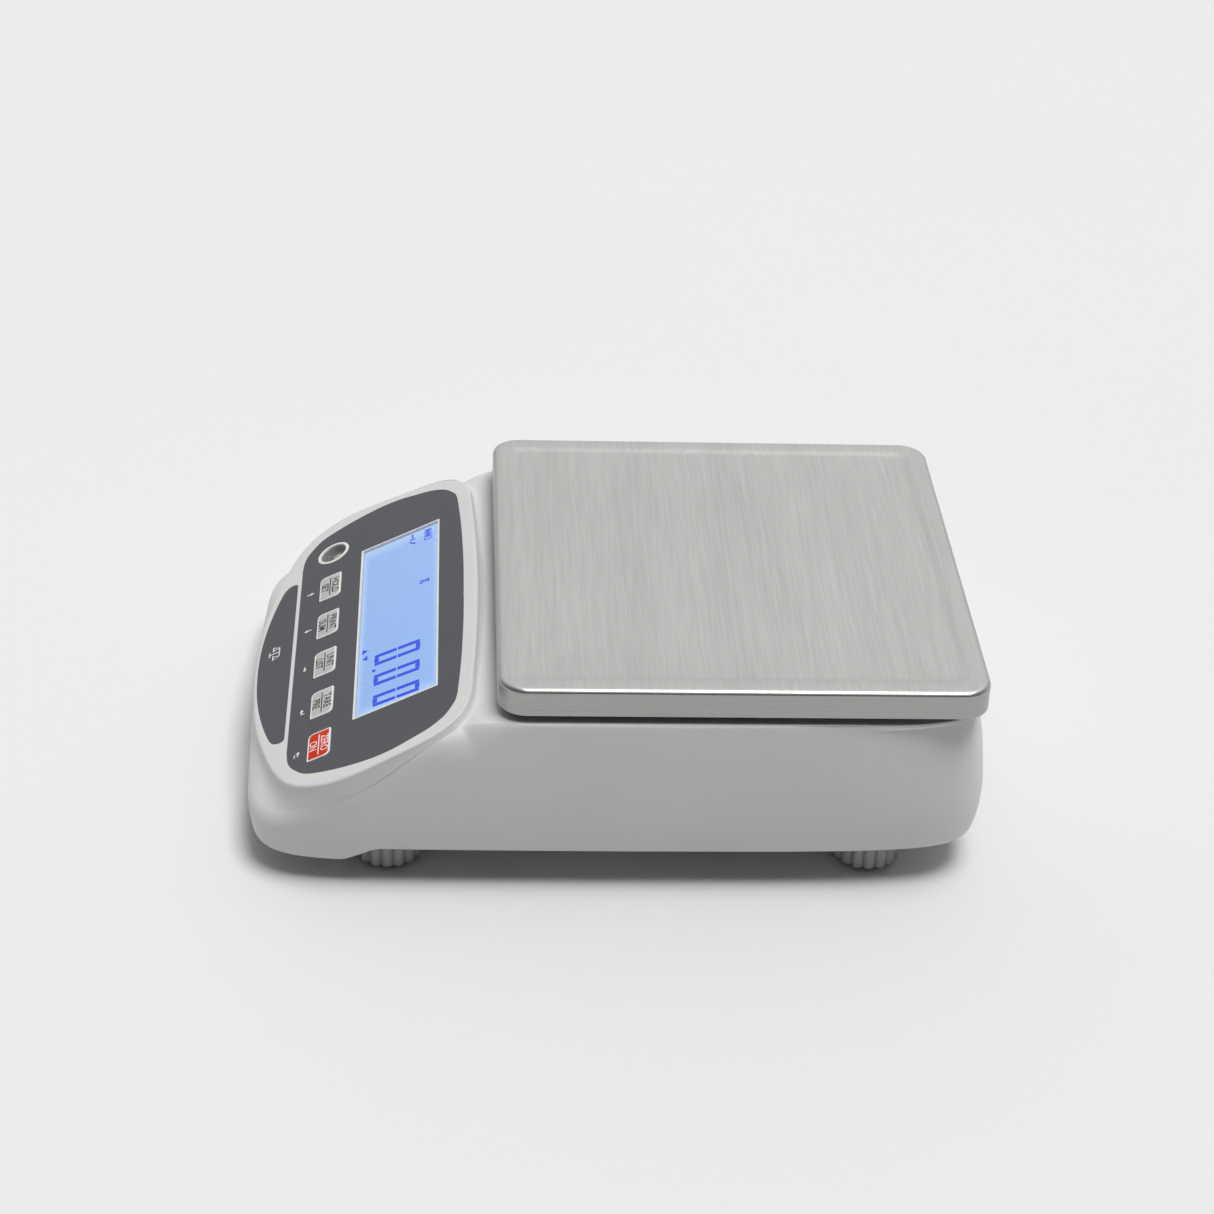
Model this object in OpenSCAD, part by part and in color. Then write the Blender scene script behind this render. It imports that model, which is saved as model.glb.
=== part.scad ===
// Counting scale: a low housing with a sloping console in front and a square steel platter behind.
// Frame: +Z up, floor at z = 0, the operator stands at -Y and looks along +Y, +X is the operator's right.

/* [Housing] */
// Overall length of the housing, front to back
body_len = 294; // [292:1:296]
// Overall width of the housing
body_w = 206; // [205:1:208]
// Height of the flat deck under the platter
deck_z = 76; // [75.5:0.5:76.5]
// Wall thickness of the housing
wall = 2.5; // [2.4:0.1:2.6]
// Height of the housing's bottom edge along the sides
edge_z = 17.3; // [17:0.1:17.6]
// How far the front toe reaches below that edge
toe_drop = 6.3; // [5:0.5:7]

/* [Console] */
// Slope of the console
tilt = 26.9; // [26:0.1:28]
// Where the console plane's origin lies, front to back
console_y = -66.5; // [-67:0.5:-66]
// Height of the console plane's origin
console_z = 71.9; // [71.5:0.1:72.5]
// Width of the display window
win_w = 128; // [126:1:130]
// Height of the display window along the slope
win_h = 37.5; // [36:0.5:38]
// Width of a key
key_w = 18.7; // [18:0.1:19]
// Height of a key along the slope
key_h = 10.6; // [10:0.1:11]
// Distance between keys
key_pitch = 29.26; // [29:0.01:29.4]

/* [Platter] */
// Platter size across
platter_w = 197; // [195:1:198]
// Platter size front to back
platter_l = 190; // [188:1:191]
// Depth of the platter's skirt
platter_h = 11.6; // [11:0.1:12]
// Height of the platter's top above the floor
platter_top = 91; // [91:0.5:92]

/* [Feet] */
// Diameter of a foot's scalloped knob
knob_d = 28; // [27:0.5:28.5]
// Number of scallops on a knob
knob_lobes = 16; // [14:1:18]
// Diameter of the threaded stud
stud_d = 8; // [7.9:0.1:8]

/* [Hidden] */
eps = 0.01;
gap = 0.3;                       // between pieces that move against each other
half_l = body_len / 2;
half_w = body_w / 2;
rear_extra = 1.1;                // how far the rear bulges past the nominal length
front_bow = 1.8;                 // how far the front edge bows back at the sides
side_bow = 1.5;                  // how far the sides bow in at the ends
side_in = 0.7;
power = 10;                      // squareness of the plan outline
platter_y = 47.5;                // platter centre, front to back
sheet = 1;                       // platter sheet
field_drop = 0.6;                // depth of the platter's pressed field

// Console plane, seen along its slope: s runs up the slope, x across
rim_back = 13.4;                 // s of the rim's back edge on the centre line
rim_sag = 0.0005;                // how the back edge bows forward towards the sides
overlay_t = 0.6;
win_s = -22.9;                   // window centre
key_s = -56.1;                   // key row centre
key_x0 = -45.3;                  // first key's centre
key_r = 3;                       // key corner radius
level_x = -72.7;
level_s = -55.8;
level_d = 15.2;
board_top = -12.4;               // top of the display board, below the console plane
board_t = 1.6;

// Inside the base
base_t = 3.2;
base_z = 16.8;                   // underside of the base
floor_z = base_z + base_t;       // upper side of the base
toe_z = edge_z - toe_drop + 0.5; // underside of the base in the toe
toe_y = -108;
foot_x = 79;
foot_y_front = -89.5;
foot_y_rear = 102.5;
sole_t = 1.5;
knob_z = 1.8;
knob_h = 10.7;
stud_top = 34;
insert_z = 17.2;
insert_h = 12;
insert_d = 12;
boss_d = 18;
cell_w = 30;
cell_l = 130;
cell_h = 22;
cell_z = 31;
cell_y0 = platter_y - cell_l / 2;
cell_y1 = platter_y + cell_l / 2;
platform_z = 78.2;
platform_t = 5;
pad_x = 78;
pad_y = 76;
pcb_x = 42;
pcb_w = 44;
pcb_y0 = 40;
pcb_l = 99;
pcb_z = 27;
port_x = 38;
jack_x = 59.2;
standoffs = [for (sx = [-1, 1], y = [14, 80]) [pcb_x + sx * (pcb_w / 2 - 5), pcb_y0 + y]];
batt_x = -58;
batt_y = 30;
batt_w = 70;
batt_l = 101;
batt_h = 46;
door_w = 76;
door_l = 112;
door_t = 2;
screw_spots = [[-88, -30], [88, -30], [-78, 122], [78, 122], [-88, -72], [88, -72]];

// Smooth step from 0 to 1 while t goes from 0 to 1
function step(t) = let(u = min(1, max(0, t))) u * u * (3 - 2 * u);
// Smooth lower envelope of two heights, blended over k
function soft_min(a, b, k) = let(h = max(0, k - abs(a - b)) / k) min(a, b) - h * h * k / 4;
// A point on the smooth curve through b and c
function curve(a, b, c, d, t) = 0.5 * (2 * b + (c - a) * t + (2 * a - 5 * b + 4 * c - d) * t * t
    + (3 * b - a - 3 * c + d) * t * t * t);
// Points along an open smooth curve through p, n steps a span
function smooth_path(p, n) = [for (i = [0:len(p) - 2], k = [0:n - 1])
    curve(p[max(0, i - 1)], p[i], p[i + 1], p[min(len(p) - 1, i + 2)], k / n)];
function mirrored(p) = [for (q = p) [-q[0], q[1]]];
function reversed(p) = [for (i = [len(p) - 1:-1:0]) p[i]];
function unit(v) = v / norm(v);

// Heights
function console_at(y) = console_z + (y - console_y) * tan(tilt);
function ledge_drop(y) = 5 + 5.5 * step((y + 108) / 20) - 7.2 * step((y + 85) / 33);
function body_at(y) = soft_min(deck_z, console_at(y) - ledge_drop(y), 7);
function edge_at(y) = edge_z - toe_drop * step((-91 - y) / 17);

// Plan outline of the housing: a squarish oval that bows a little on its sides and front
function in_plan(x, y, inset) =
    let(a = half_w - side_in - side_bow * pow(y / half_l, 2) - inset,
        b = half_l + (y < 0 ? -front_bow * pow(x / half_w, 2) : rear_extra) - inset)
    pow(abs(x) / a, power) + pow(abs(y) / b, power) < 1;
function plan_r(c, d, inset, lo = 0, hi = 320, n = 18) = n == 0 ? (lo + hi) / 2 :
    let(m = (lo + hi) / 2, q = c + m * d)
    in_plan(q[0], q[1], inset) ? plan_r(c, d, inset, m, hi, n - 1) : plan_r(c, d, inset, lo, m, n - 1);
// How far the wall leans in at height z; the rear leans in twice as far
function lean(z, y) = (z > 34 ? 2.8 * pow((z - 34) / 42, 1.6) : 1.3 * pow((34 - z) / 20, 2))
    * (1 + 1.1 * step((y - 60) / 80));

// The console rim, as half an outline in x and s from the front middle to the back middle
rim_side = [[0, -90], [34, -87.6], [60, -82], [80, -75], [92, -67], [99, -55.5], [101.3, -43],
    [100.2, -25], [98.4, -10], [94.6, 0.4], [87.6, 7.2], [78, 10.3], [66, 11.22]];
// The back edge is sampled closely where its rays fan out to the housing's rear corners
corner_x = 24.5;
back_x = concat([for (v = [8:-1:1]) corner_x + (66 - corner_x) * pow(v / 8, 2)],
    [for (w = [0:6]) corner_x * (1 - pow(w / 6, 2))]);
rim_half = concat(smooth_path(rim_side, 3), [for (x = back_x) [x, rim_back - rim_sag * x * x]]);
rim_n = len(rim_half);
rim_loop = concat(rim_half, [for (i = [rim_n - 2:-1:1]) [-rim_half[i][0], rim_half[i][1]]]);
rim_count = len(rim_loop);
hub = [0, -120];                 // rings of the shell are drawn around this point

// How far the cheeks flow from the rim into the wall, from 0 at the deck to 0.72 at the front
function flow_at(y) = 0.72 * step((-66 - y) / 34);
function mix(a, b, k) = a * (1 - k) + b * k;
// One ray of the shell at inset t: the points from the rim out over the deck and down the wall
function ray(i, t) =
    let(rim = rim_loop[i], rim_xy = [rim[0], console_y + rim[1] * cos(tilt)],
        d = unit(rim_xy - hub), r0 = norm(rim_xy - hub) - t,
        top = body_at(rim_xy[1]) - t, fall = console_at(hub[1] + r0 * d[1]) - t - top,
        rough = max(r0 + 1.4, plan_r(hub, d, lean(top, hub[1] + 200 * d[1]) + t)),
        foot = hub + rough * d, z0 = edge_at(foot[1]),
        soft = step((-44 - foot[1]) / 22),
        round_r = min(1.5 + 7.5 * soft, 0.8 * (rough - r0)), round_z = round_r + 5 * soft,
        r1 = rough - round_r,
        flare = [0, 0.5, 1.2, 2.2, 3.5],
        outs = concat([for (j = [0:4]) r0 + min(flare[j], (r1 - r0) * j / 5)],
            [for (k = [0.25, 0.6, 1]) let(f = r0 + min(3.5, (r1 - r0) * 0.8)) f + (r1 - f) * k]),
        tops = [for (r = outs) let(q = hub + r * d, e = pow(max(0, 1 - (r - r0) / 4), 2))
            [q[0], q[1], e * (body_at(rim_xy[1]) - t + fall) + (1 - e) * (body_at(q[1]) - t)]],
        last = tops[len(tops) - 1],
        rounds = [for (a = [60, 30]) let(z = last[2] - round_z * (1 - sin(a)),
            q = hub + (wall_r(d, z, foot[1], t, r1) - round_r * (1 - cos(a))) * d) [q[0], q[1], z]],
        ledge = concat(tops, rounds),
        flow = flow_at(rim_xy[1]), high = top + fall, deep = min(18, 0.6 * (high - z0)),
        cheek = [for (j = [0:9]) let(z = high - deep * j / 9,
            q = hub + (r0 + max(0.2, wall_r(d, z, foot[1], t, r0) - r0) * step((j / 9 - 0.15) / 0.85)) * d)
            [q[0], q[1], z]],
        z1 = mix(last[2] - round_z, high - deep, flow),
        downs = [for (w = [0.05, 0.25, 0.5, 0.75, 1]) let(z = z1 + (z0 - z1) * w,
            q = hub + wall_r(d, z, foot[1], t, 0) * d) [q[0], q[1], z]])
    concat([for (j = [0:9]) mix(ledge[j], cheek[j], flow)], downs);
// Distance of the wall from the hub at height z, at least least
function wall_r(d, z, y, t, least) = max(least, plan_r(hub, d, lean(z, y) + t));

// Two triangles of the strip between point i and its neighbour k, from the ring at a to the ring at b
function strip(a, b, i, k) = [[a + i, b + k, b + i], [a + i, a + k, b + k]];
function flipped(faces) = [for (f = faces) reversed(f)];

module shell() {
    n = rim_count;
    outer = [for (i = [0:n - 1]) ray(i, 0)];
    inner = [for (i = [0:n - 1]) ray(i, wall)];
    m = len(outer[0]);
    half = n * m;                // number of points in either skin
    peak = [hub[0], hub[1], console_at(hub[1])];
    points = concat([for (j = [0:m - 1], i = [0:n - 1]) outer[i][j]],
        [for (j = [0:m - 1], i = [0:n - 1]) inner[i][j]], [peak, peak - [0, 0, wall]]);
    skin = [for (j = [0:m - 2], i = [0:n - 1], f = strip(j * n, (j + 1) * n, i, (i + 1) % n)) f];
    faces = concat(skin, flipped([for (f = skin) [f[0] + half, f[1] + half, f[2] + half]]),
        [for (i = [0:n - 1], f = strip(half - n, 2 * half - n, i, (i + 1) % n)) f],
        [for (i = [0:n - 1]) [2 * half, (i + 1) % n, i]],
        [for (i = [0:n - 1]) [2 * half + 1, half + i, half + (i + 1) % n]]);
    polyhedron(points = points, faces = faces, convexity = 10);
}

// Everything inside is drawn with x across, y up the slope and z along the console's normal
module on_console() {
    translate([0, console_y, console_z]) rotate([tilt, 0, 0]) children();
}

// A prism with rounded corners; r is [lower left, lower right, upper right, upper left]
module plate(w, l, h, r) {
    linear_extrude(h) plate_shape(w, l, r);
}

module plate_shape(w, l, r) {
    at = [[-w / 2, -l / 2], [w / 2, -l / 2], [w / 2, l / 2], [-w / 2, l / 2]];
    difference() {
        square([w, l], center = true);
        for (i = [0:3]) if (r[i] > 0) translate(at[i]) square(2 * r[i], center = true);
    }
    for (i = [0:3]) if (r[i] > 0)
        translate([at[i][0] - sign(at[i][0]) * r[i], at[i][1] - sign(at[i][1]) * r[i]])
            circle(r[i], $fn = 32);
}

module even_plate(w, l, h, r) {
    plate(w, l, h, [r, r, r, r]);
}

module block(w, l, h) {
    translate([-w / 2, -l / 2, 0]) cube([w, l, h]);
}

module disc(d, h) {
    cylinder(d = d, h = h, $fn = 48);
}

// A round lead of diameter d swept along the smooth curve through the route's points
module lead(route, d, sides = 8) {
    line = concat(smooth_path(route, 4), [route[len(route) - 1]]);
    n = len(line);
    along = [for (i = [0:n - 1]) unit(line[min(n - 1, i + 1)] - line[max(0, i - 1)])];
    across = [for (i = 0, u = unit(cross(along[0], [0.3, 0.2, 1])); i < n;
        i = i + 1, u = i < n ? unit(u - (u * along[i]) * along[i]) : u) u];
    points = [for (i = [0:n - 1], k = [0:sides - 1]) let(a = 360 * k / sides)
        line[i] + d / 2 * (cos(a) * across[i] + sin(a) * cross(along[i], across[i]))];
    faces = concat(
        [for (i = [0:n - 2], k = [0:sides - 1],
            f = strip(i * sides, (i + 1) * sides, k, (k + 1) % sides)) f],
        [[for (k = [sides - 1:-1:0]) k]],
        [[for (k = [0:sides - 1]) (n - 1) * sides + k]]);
    polyhedron(points = points, faces = faces);
}

// Half outlines of the flat pieces on the console, as x and s
overlay_side = [[0, -70.6], [60, -70.6], [70, -70.5], [77.6, -69.2], [84, -65.3], [88.4, -60.5],
    [91.8, -52], [94, -43.6], [95.6, -33], [95.3, -24], [93.7, -17], [91.1, -8], [87.3, -1.8],
    [82.4, 1.9], [77.5, 4], [66, 5.2], [47, 6.4], [22, 7.2], [0, 7.3]];
nameplate_side = [[0, -88.2], [14, -87.7], [28, -86.1], [42, -83.2], [53, -80], [57.6, -77.8],
    [59.2, -75.2], [58.9, -73.1], [57.6, -72.3]];

module mirrored_shape(side, n) {
    half = concat(smooth_path(side, n), [side[len(side) - 1]]);
    inner = [for (i = [len(half) - 1:-1:0]) if (half[i][0] > eps) half[i]];
    polygon(concat(half, mirrored(inner)));
}

module overlay_shape() {
    mirrored_shape(overlay_side, 3);
}

module key_spots() {
    for (k = [0:4]) translate([key_x0 + k * key_pitch, key_s, 0]) children();
}

module key_outline(grow) {
    plate_shape(key_w + grow, key_h + grow, [key_r, 0, key_r, 0]);
}

module foot_spot(sx, rear) {
    translate([sx * foot_x, rear ? foot_y_rear : foot_y_front, 0]) children();
}

module foot_spots() {
    for (sx = [-1, 1], rear = [false, true]) foot_spot(sx, rear) children();
}

// ---- Housing ----

module upper_housing() {
    color("gainsboro") difference() {
        shell();
        on_console() {
            translate([0, 0, -overlay_t]) linear_extrude(5) overlay_shape();
            translate([0, 0, -overlay_t]) linear_extrude(5) mirrored_shape(nameplate_side, 2);
            translate([0, win_s, -4]) block(win_w, win_h, 5);
            key_spots() {
                translate([0, 0, -1.6]) linear_extrude(3) key_outline(0);
                translate([0, 0, -4]) disc(6.2, 5);
            }
            translate([level_x, level_s, -4]) disc(13.6, 5);
        }
        translate([0, cell_y1 - 17, deck_z - 5]) block(42, 46, 8);
        translate([port_x, half_l, pcb_z + board_t - gap]) block(32.6, 16, 12.9);
        translate([jack_x, half_l, pcb_z + board_t - gap]) block(9.6, 16, 11.2);
    }
}

// Posts between the base and the underside of the deck and console
module housing_posts() {
    color("gainsboro") difference() {
        intersection() {
            for (p = screw_spots) translate([p[0], p[1], floor_z])
                cylinder(d = 7, h = deck_z - wall - gap - floor_z, $fn = 32);
            on_console() translate([-half_w, -half_l, -90]) cube([body_w, 2 * body_len, 90 - wall - gap]);
        }
        for (p = screw_spots) translate([p[0], p[1], floor_z - 1]) cylinder(d = 3.3, h = 13, $fn = 24);
    }
}

// The plan outline as a polygon, inset all round
module inner_plan(inset) {
    polygon([for (t = [0:5:355]) let(c = cos(t), q = sin(t),
        y = sign(q) * (half_l - inset) * pow(abs(q), 2 / power),
        a = half_w - side_in - side_bow * pow(y / half_l, 2) - inset,
        x = sign(c) * a * pow(abs(c), 2 / power))
        [x, y + (y < 0 ? front_bow * pow(x / half_w, 2) : 0)]]);
}

module base_solid() {
    inset = wall + 2;
    translate([0, 0, base_z]) linear_extrude(base_t) inner_plan(inset);
    translate([0, 0, base_z]) linear_extrude(6) difference() {
        inner_plan(inset);
        inner_plan(inset + 2);
    }
    intersection() {
        translate([-half_w, -half_l, 0]) cube([body_w, half_l + toe_y + 3, 60]);
        translate([0, 0, toe_z]) linear_extrude(base_z + base_t - toe_z) inner_plan(inset);
    }
    foot_spots() translate([0, 0, base_z]) disc(boss_d, insert_z + insert_h - base_z + 1);
    translate([0, cell_y0 + 17, base_z]) block(38, 38, 7.2);
    translate([0, cell_y1 - 17, base_z]) disc(16, 8.2);
    for (p = standoffs) translate([p[0], p[1], base_z]) disc(7, pcb_z - base_z);
    translate([batt_x, batt_y, base_z]) difference() {
        block(batt_w + 4, batt_l + 4, 24);
        translate([0, 0, -1]) block(batt_w, batt_l, 30);
    }
}

module base() {
    color("silver") difference() {
        base_solid();
        intersection() {
            translate([-half_w, -half_l, 0]) cube([body_w, half_l + toe_y, 60]);
            translate([0, 0, toe_z + 2.5]) linear_extrude(20) inner_plan(wall + 4);
        }
        for (p = screw_spots) translate([p[0], p[1], 0]) {
            translate([0, 0, 5]) cylinder(d = 4.4, h = 30, $fn = 24);
            cylinder(d = 8.4, h = base_z + 2.2, $fn = 32);
        }
        foot_spots() {
            translate([0, 0, 5]) cylinder(d = stud_d + 1.2, h = 40, $fn = 48);
            translate([0, 0, insert_z - 1]) cylinder(d = insert_d, h = insert_h + 1, $fn = 48);
        }
        for (dy = [7.5, 26.5]) translate([0, cell_y0 + dy, 0]) {
            translate([0, 0, 5]) cylinder(d = 6.5, h = 40, $fn = 32);
            cylinder(d = 11, h = base_z + 5, $fn = 32);
        }
        translate([0, cell_y1 - 17, 5]) cylinder(d = 5, h = 40, $fn = 32);
        translate([batt_x, batt_y, 5]) block(batt_w, batt_l, 20);
        translate([batt_x, batt_y, base_z - 1]) block(door_w, door_l, door_t + 1 + gap);
        translate([46, -20, 5]) cylinder(d = 12, h = 30, $fn = 32);
        translate([46, -20, base_z - 1]) cylinder(d = 18, h = 2.2, $fn = 48);
        for (k = [0:6]) translate([10, -66 + k * 5, 10]) block(50, 2.2, 20);
    }
}

module battery_door() {
    color("silver") translate([batt_x, batt_y, base_z]) difference() {
        even_plate(door_w - 2 * gap, door_l - 2 * gap, door_t, 1.5);
        for (k = [-2:2]) translate([k * 5, -door_l / 2 + 12, -1]) block(2, 12, 1.7);
    }
}

module calibration_cover() {
    color("dimgray") translate([46, -20, base_z]) {
        disc(18, 1.2);
        disc(12, 3);
    }
}

// ---- Console ----

module console_overlay() {
    color("dimgray") on_console() difference() {
        translate([0, 0, -overlay_t]) linear_extrude(overlay_t) overlay_shape();
        translate([0, win_s, -2]) block(win_w, win_h, 4);
        translate([0, 0, -2]) linear_extrude(4) key_spots() key_outline(0);
        translate([level_x, level_s, -2]) disc(level_d, 4);
    }
}

module nameplate() {
    color("dimgray") on_console() translate([0, 0, -overlay_t]) linear_extrude(overlay_t)
        mirrored_shape(nameplate_side, 2);
}

module display_lens() {
    color("lightblue", 0.4) on_console() translate([0, win_s, -1]) even_plate(win_w, win_h, 0.9, 0.4);
}

module lcd_glass() {
    color("cornflowerblue") on_console() translate([0, win_s, -3]) block(win_w, win_h, 1.9);
}

module lcd_backlight() {
    color("white") on_console() translate([0, win_s, -7]) block(win_w + 4, win_h + 4, 3.9);
}

module lcd_holder() {
    color("ivory") on_console() translate([0, win_s, board_top]) difference() {
        block(win_w + 12, win_h + 11, -board_top - 3.1);
        translate([0, 0, 5.4]) block(win_w + 4, win_h + 4, 20);
        translate([0, 0, -1]) block(win_w - 8, win_h - 8, 20);
    }
}

module key(k) {
    on_console() translate([key_x0 + k * key_pitch, key_s, 0]) {
        translate([0, 0, -0.75]) linear_extrude(1) key_outline(-2 * gap);
        translate([0, 0, -6]) disc(5.4, 5.5);
    }
}

module key_hold() {
    color("lightgray") key(0);
}

module key_print() {
    color("lightgray") key(1);
}

module key_unit() {
    color("lightgray") key(2);
}

module key_tare() {
    color("lightgray") key(3);
}

module key_zero() {
    color("firebrick") key(4);
}

module key_switches() {
    color("black") on_console() key_spots() translate([0, 0, board_top]) {
        block(6, 6, 3.5);
        disc(3.4, 5.6);
    }
}

module display_board() {
    color("seagreen") on_console() difference() {
        translate([0, -32, board_top - board_t]) block(168, 68, board_t);
        for (sx = [-1, 1], s = [-62, -2]) translate([sx * 79, s, board_top - 5]) disc(3.4, 10);
    }
}

module display_chips() {
    color("black") on_console() translate([0, 0, board_top - board_t]) {
        translate([-30, -30, -2.2]) block(14, 14, 2.2);
        translate([10, -28, -2.6]) block(10, 8, 2.6);
        translate([-50, -15, -3]) block(7, 5, 3);
        translate([40, -8, -6]) block(24, 6, 6);
    }
}

module level_cup() {
    color("whitesmoke") on_console() translate([level_x, level_s, -9]) difference() {
        disc(13.6, 8.4);
        translate([0, 0, 1.5]) disc(11.4, 8);
    }
}

module level_fluid() {
    color("palegreen") on_console() translate([level_x, level_s, -7.5]) disc(11.4, 5.3);
}

module level_lens() {
    color("lightcyan", 0.5) on_console() translate([level_x, level_s, -2.2]) disc(11.4, 1.8);
}

module level_ring() {
    color("white") on_console() translate([level_x, level_s, -0.6]) difference() {
        disc(level_d, 0.9);
        translate([0, 0, -1]) disc(12.2, 3);
    }
}

// ---- Platter and weighing mechanism ----

module platter() {
    r = 11.5;
    color("silver") translate([0, platter_y, platter_top - platter_h]) difference() {
        union() {
            even_plate(platter_w, platter_l, platter_h - 1, r);
            translate([0, 0, platter_h - 1]) even_plate(platter_w - 1.2, platter_l - 1.2, 1, r - 0.6);
        }
        translate([0, 0, -1]) even_plate(platter_w - 2 * sheet, platter_l - 2 * sheet,
            platter_h + 1 - sheet - field_drop, r - sheet);
        translate([0, 0, platter_h - field_drop]) even_plate(platter_w - 18, platter_l - 18, 2, 4);
    }
}

module pad_spots() {
    for (sx = [-1, 1], sy = [-1, 1]) translate([sx * pad_x, platter_y + sy * pad_y, 0]) children();
}

module platter_pads() {
    color("black") pad_spots() {
        translate([0, 0, platform_z + 6]) disc(16, 89.1 - platform_z - 6);
        translate([0, 0, platform_z + 2]) disc(5.9, 5);
    }
}

module platform() {
    arm = norm([pad_x, pad_y]);
    color("darkgray") difference() {
        union() {
            translate([0, platter_y, platform_z]) even_plate(76, 60, platform_t, 6);
            translate([0, cell_y1 - 17, platform_z]) even_plate(40, 42, platform_t, 4);
            for (sx = [-1, 1], sy = [-1, 1]) translate([0, platter_y, platform_z])
                rotate([0, 0, atan2(sy * pad_y, sx * pad_x)]) translate([arm / 2, 0, 0]) {
                    block(arm, 16, 3);
                    translate([-6, 0, 0]) block(arm - 12, 4, 7.5);
                }
            pad_spots() translate([0, 0, platform_z]) disc(22, 6);
        }
        pad_spots() translate([0, 0, platform_z - 1]) disc(6, 20);
        for (dy = [7.5, 26.5]) translate([0, cell_y1 - dy, platform_z]) {
            translate([0, 0, -1]) cylinder(d = 6.5, h = 20, $fn = 32);
            translate([0, 0, platform_t]) cylinder(d = 12, h = 20, $fn = 32);
        }
        translate([0, platter_y - 14, platform_z - 1]) disc(18, 20);
    }
}

module upper_spacer() {
    color("lightgray") difference() {
        translate([0, cell_y1 - 17, cell_z + cell_h]) block(cell_w, 34, platform_z - cell_z - cell_h);
        for (dy = [7.5, 26.5]) translate([0, cell_y1 - dy, 40]) cylinder(d = 6.5, h = 60, $fn = 32);
    }
}

module bolt(d, head_d, head_h, l) {
    cylinder(d = d, h = l, $fn = 32);
    translate([0, 0, l]) difference() {
        cylinder(d = head_d, h = head_h, $fn = 32);
        translate([0, 0, head_h - min(2, 0.6 * head_h)]) cylinder(d = d * 0.9, h = 5, $fn = 6);
    }
}

module platform_screws() {
    color("silver") for (dy = [7.5, 26.5]) translate([0, cell_y1 - dy, 40])
        bolt(6, 10, 4, platform_z + platform_t - 40);
}

module load_cell() {
    color("gainsboro") difference() {
        translate([0, platter_y, cell_z]) block(cell_w, cell_l, cell_h);
        for (dy = [-14, 14]) translate([-cell_w, platter_y + dy, cell_z + cell_h / 2]) rotate([0, 90, 0])
            cylinder(d = 16, h = 2 * cell_w, $fn = 48);
        translate([0, platter_y, cell_z + cell_h / 2 - 2]) block(2 * cell_w, 28, 4);
        for (dy = [7.5, 26.5]) {
            translate([0, cell_y0 + dy, cell_z - 1]) cylinder(d = 6.1, h = 17, $fn = 32);
            translate([0, cell_y1 - dy, cell_z + 7]) cylinder(d = 6.5, h = 40, $fn = 32);
        }
    }
}

module gauge_covers() {
    color("white") for (sx = [-1, 1]) translate([sx * (cell_w / 2 + 0.6), platter_y, cell_z + 1])
        block(1.2, 62, cell_h - 2);
}

module lower_spacer() {
    color("lightgray") difference() {
        translate([0, cell_y0 + 17, base_z + 7.2]) block(cell_w, 34, cell_z - base_z - 7.2);
        for (dy = [7.5, 26.5]) translate([0, cell_y0 + dy, 5]) cylinder(d = 6.5, h = 60, $fn = 32);
    }
}

module cell_screws() {
    color("silver") for (dy = [7.5, 26.5]) translate([0, cell_y0 + dy, cell_z + 13]) rotate([180, 0, 0])
        bolt(6, 10, 4, cell_z + 13 - base_z - 5);
}

module stop_screw() {
    color("silver") translate([0, cell_y1 - 17, base_z]) cylinder(d = 5, h = 13.2, $fn = 32);
}

module stop_nut() {
    color("silver") translate([0, cell_y1 - 17, base_z + 8.2]) difference() {
        cylinder(d = 9.2, h = 4, $fn = 6);
        translate([0, 0, -1]) cylinder(d = 5, h = 8, $fn = 32);
    }
}

module cell_cable() {
    color("gray") lead([[15.4, cell_y0 + 24, 42], [21, cell_y0 + 24, 41], [24, 16, 36], [25, 28, 33],
        [25.5, 36, 31.5], [25.5, 41.1, 31]], 3);
}

// ---- Electronics ----

module main_board() {
    color("seagreen") difference() {
        translate([pcb_x, pcb_y0 + pcb_l / 2, pcb_z]) block(pcb_w, pcb_l, board_t);
        for (p = standoffs) translate([p[0], p[1], 5]) disc(3.4, 40);
    }
}

module main_chips() {
    color("black") translate([pcb_x, pcb_y0, pcb_z + board_t]) {
        translate([12, 46, 0]) block(14, 14, 1.8);
        translate([-10, 60, 0]) block(9, 12, 2);
        translate([10, 66, 0]) disc(10, 12);
        translate([0, 76, 0]) disc(6.4, 9);
        translate([-2, 3.5, 0]) block(18, 6, 6);
        translate([13, 3.5, 0]) block(10, 6, 5);
        translate([-17, 4.5, 0]) block(8, 6, 3.5);
    }
}

module adc_shield() {
    color("silver") translate([pcb_x - 4, pcb_y0 + 24, pcb_z + board_t]) difference() {
        block(20, 28, 6);
        translate([0, 0, -1]) block(19.2, 27.2, 6.6);
    }
}

module board_screws() {
    color("silver") for (p = standoffs) translate([p[0], p[1], pcb_z + board_t]) disc(5.6, 2);
    color("silver") on_console() for (sx = [-1, 1], s = [-62, -2])
        translate([sx * 79, s, board_top - board_t - 2]) disc(5.6, 2);
}

// The ribbon's run from the display board to the main board, as y and z
ribbon_line = [[-64.9, 49.2], [-60.5, 39], [-48, 27], [-28, 22.5], [0, 22], [20, 25], [31, 30.5],
    [38, 34.6], [46.5, 34.9]];

module ribbon_cable() {
    line = concat(smooth_path(ribbon_line, 4), [ribbon_line[len(ribbon_line) - 1]]);
    color("lightgray") translate([32, 0, 0]) rotate([90, 0, 90]) linear_extrude(16)
        polygon(concat(line, reversed([for (p = line) p + [0.7, 0.7]])));
}

module battery() {
    color("dimgray") translate([batt_x, batt_y, base_z + door_t + 2 * gap]) {
        block(batt_w, batt_l, batt_h);
        for (k = [0, 1]) translate([batt_w / 2 - 8, batt_l / 2 - 12 - 20 * k, batt_h]) block(5, 4, 0.8);
    }
}

// The two leads run round the front of the load cell, one inside the other
lead_top = base_z + door_t + 2 * gap + batt_h + 1.7;

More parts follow.
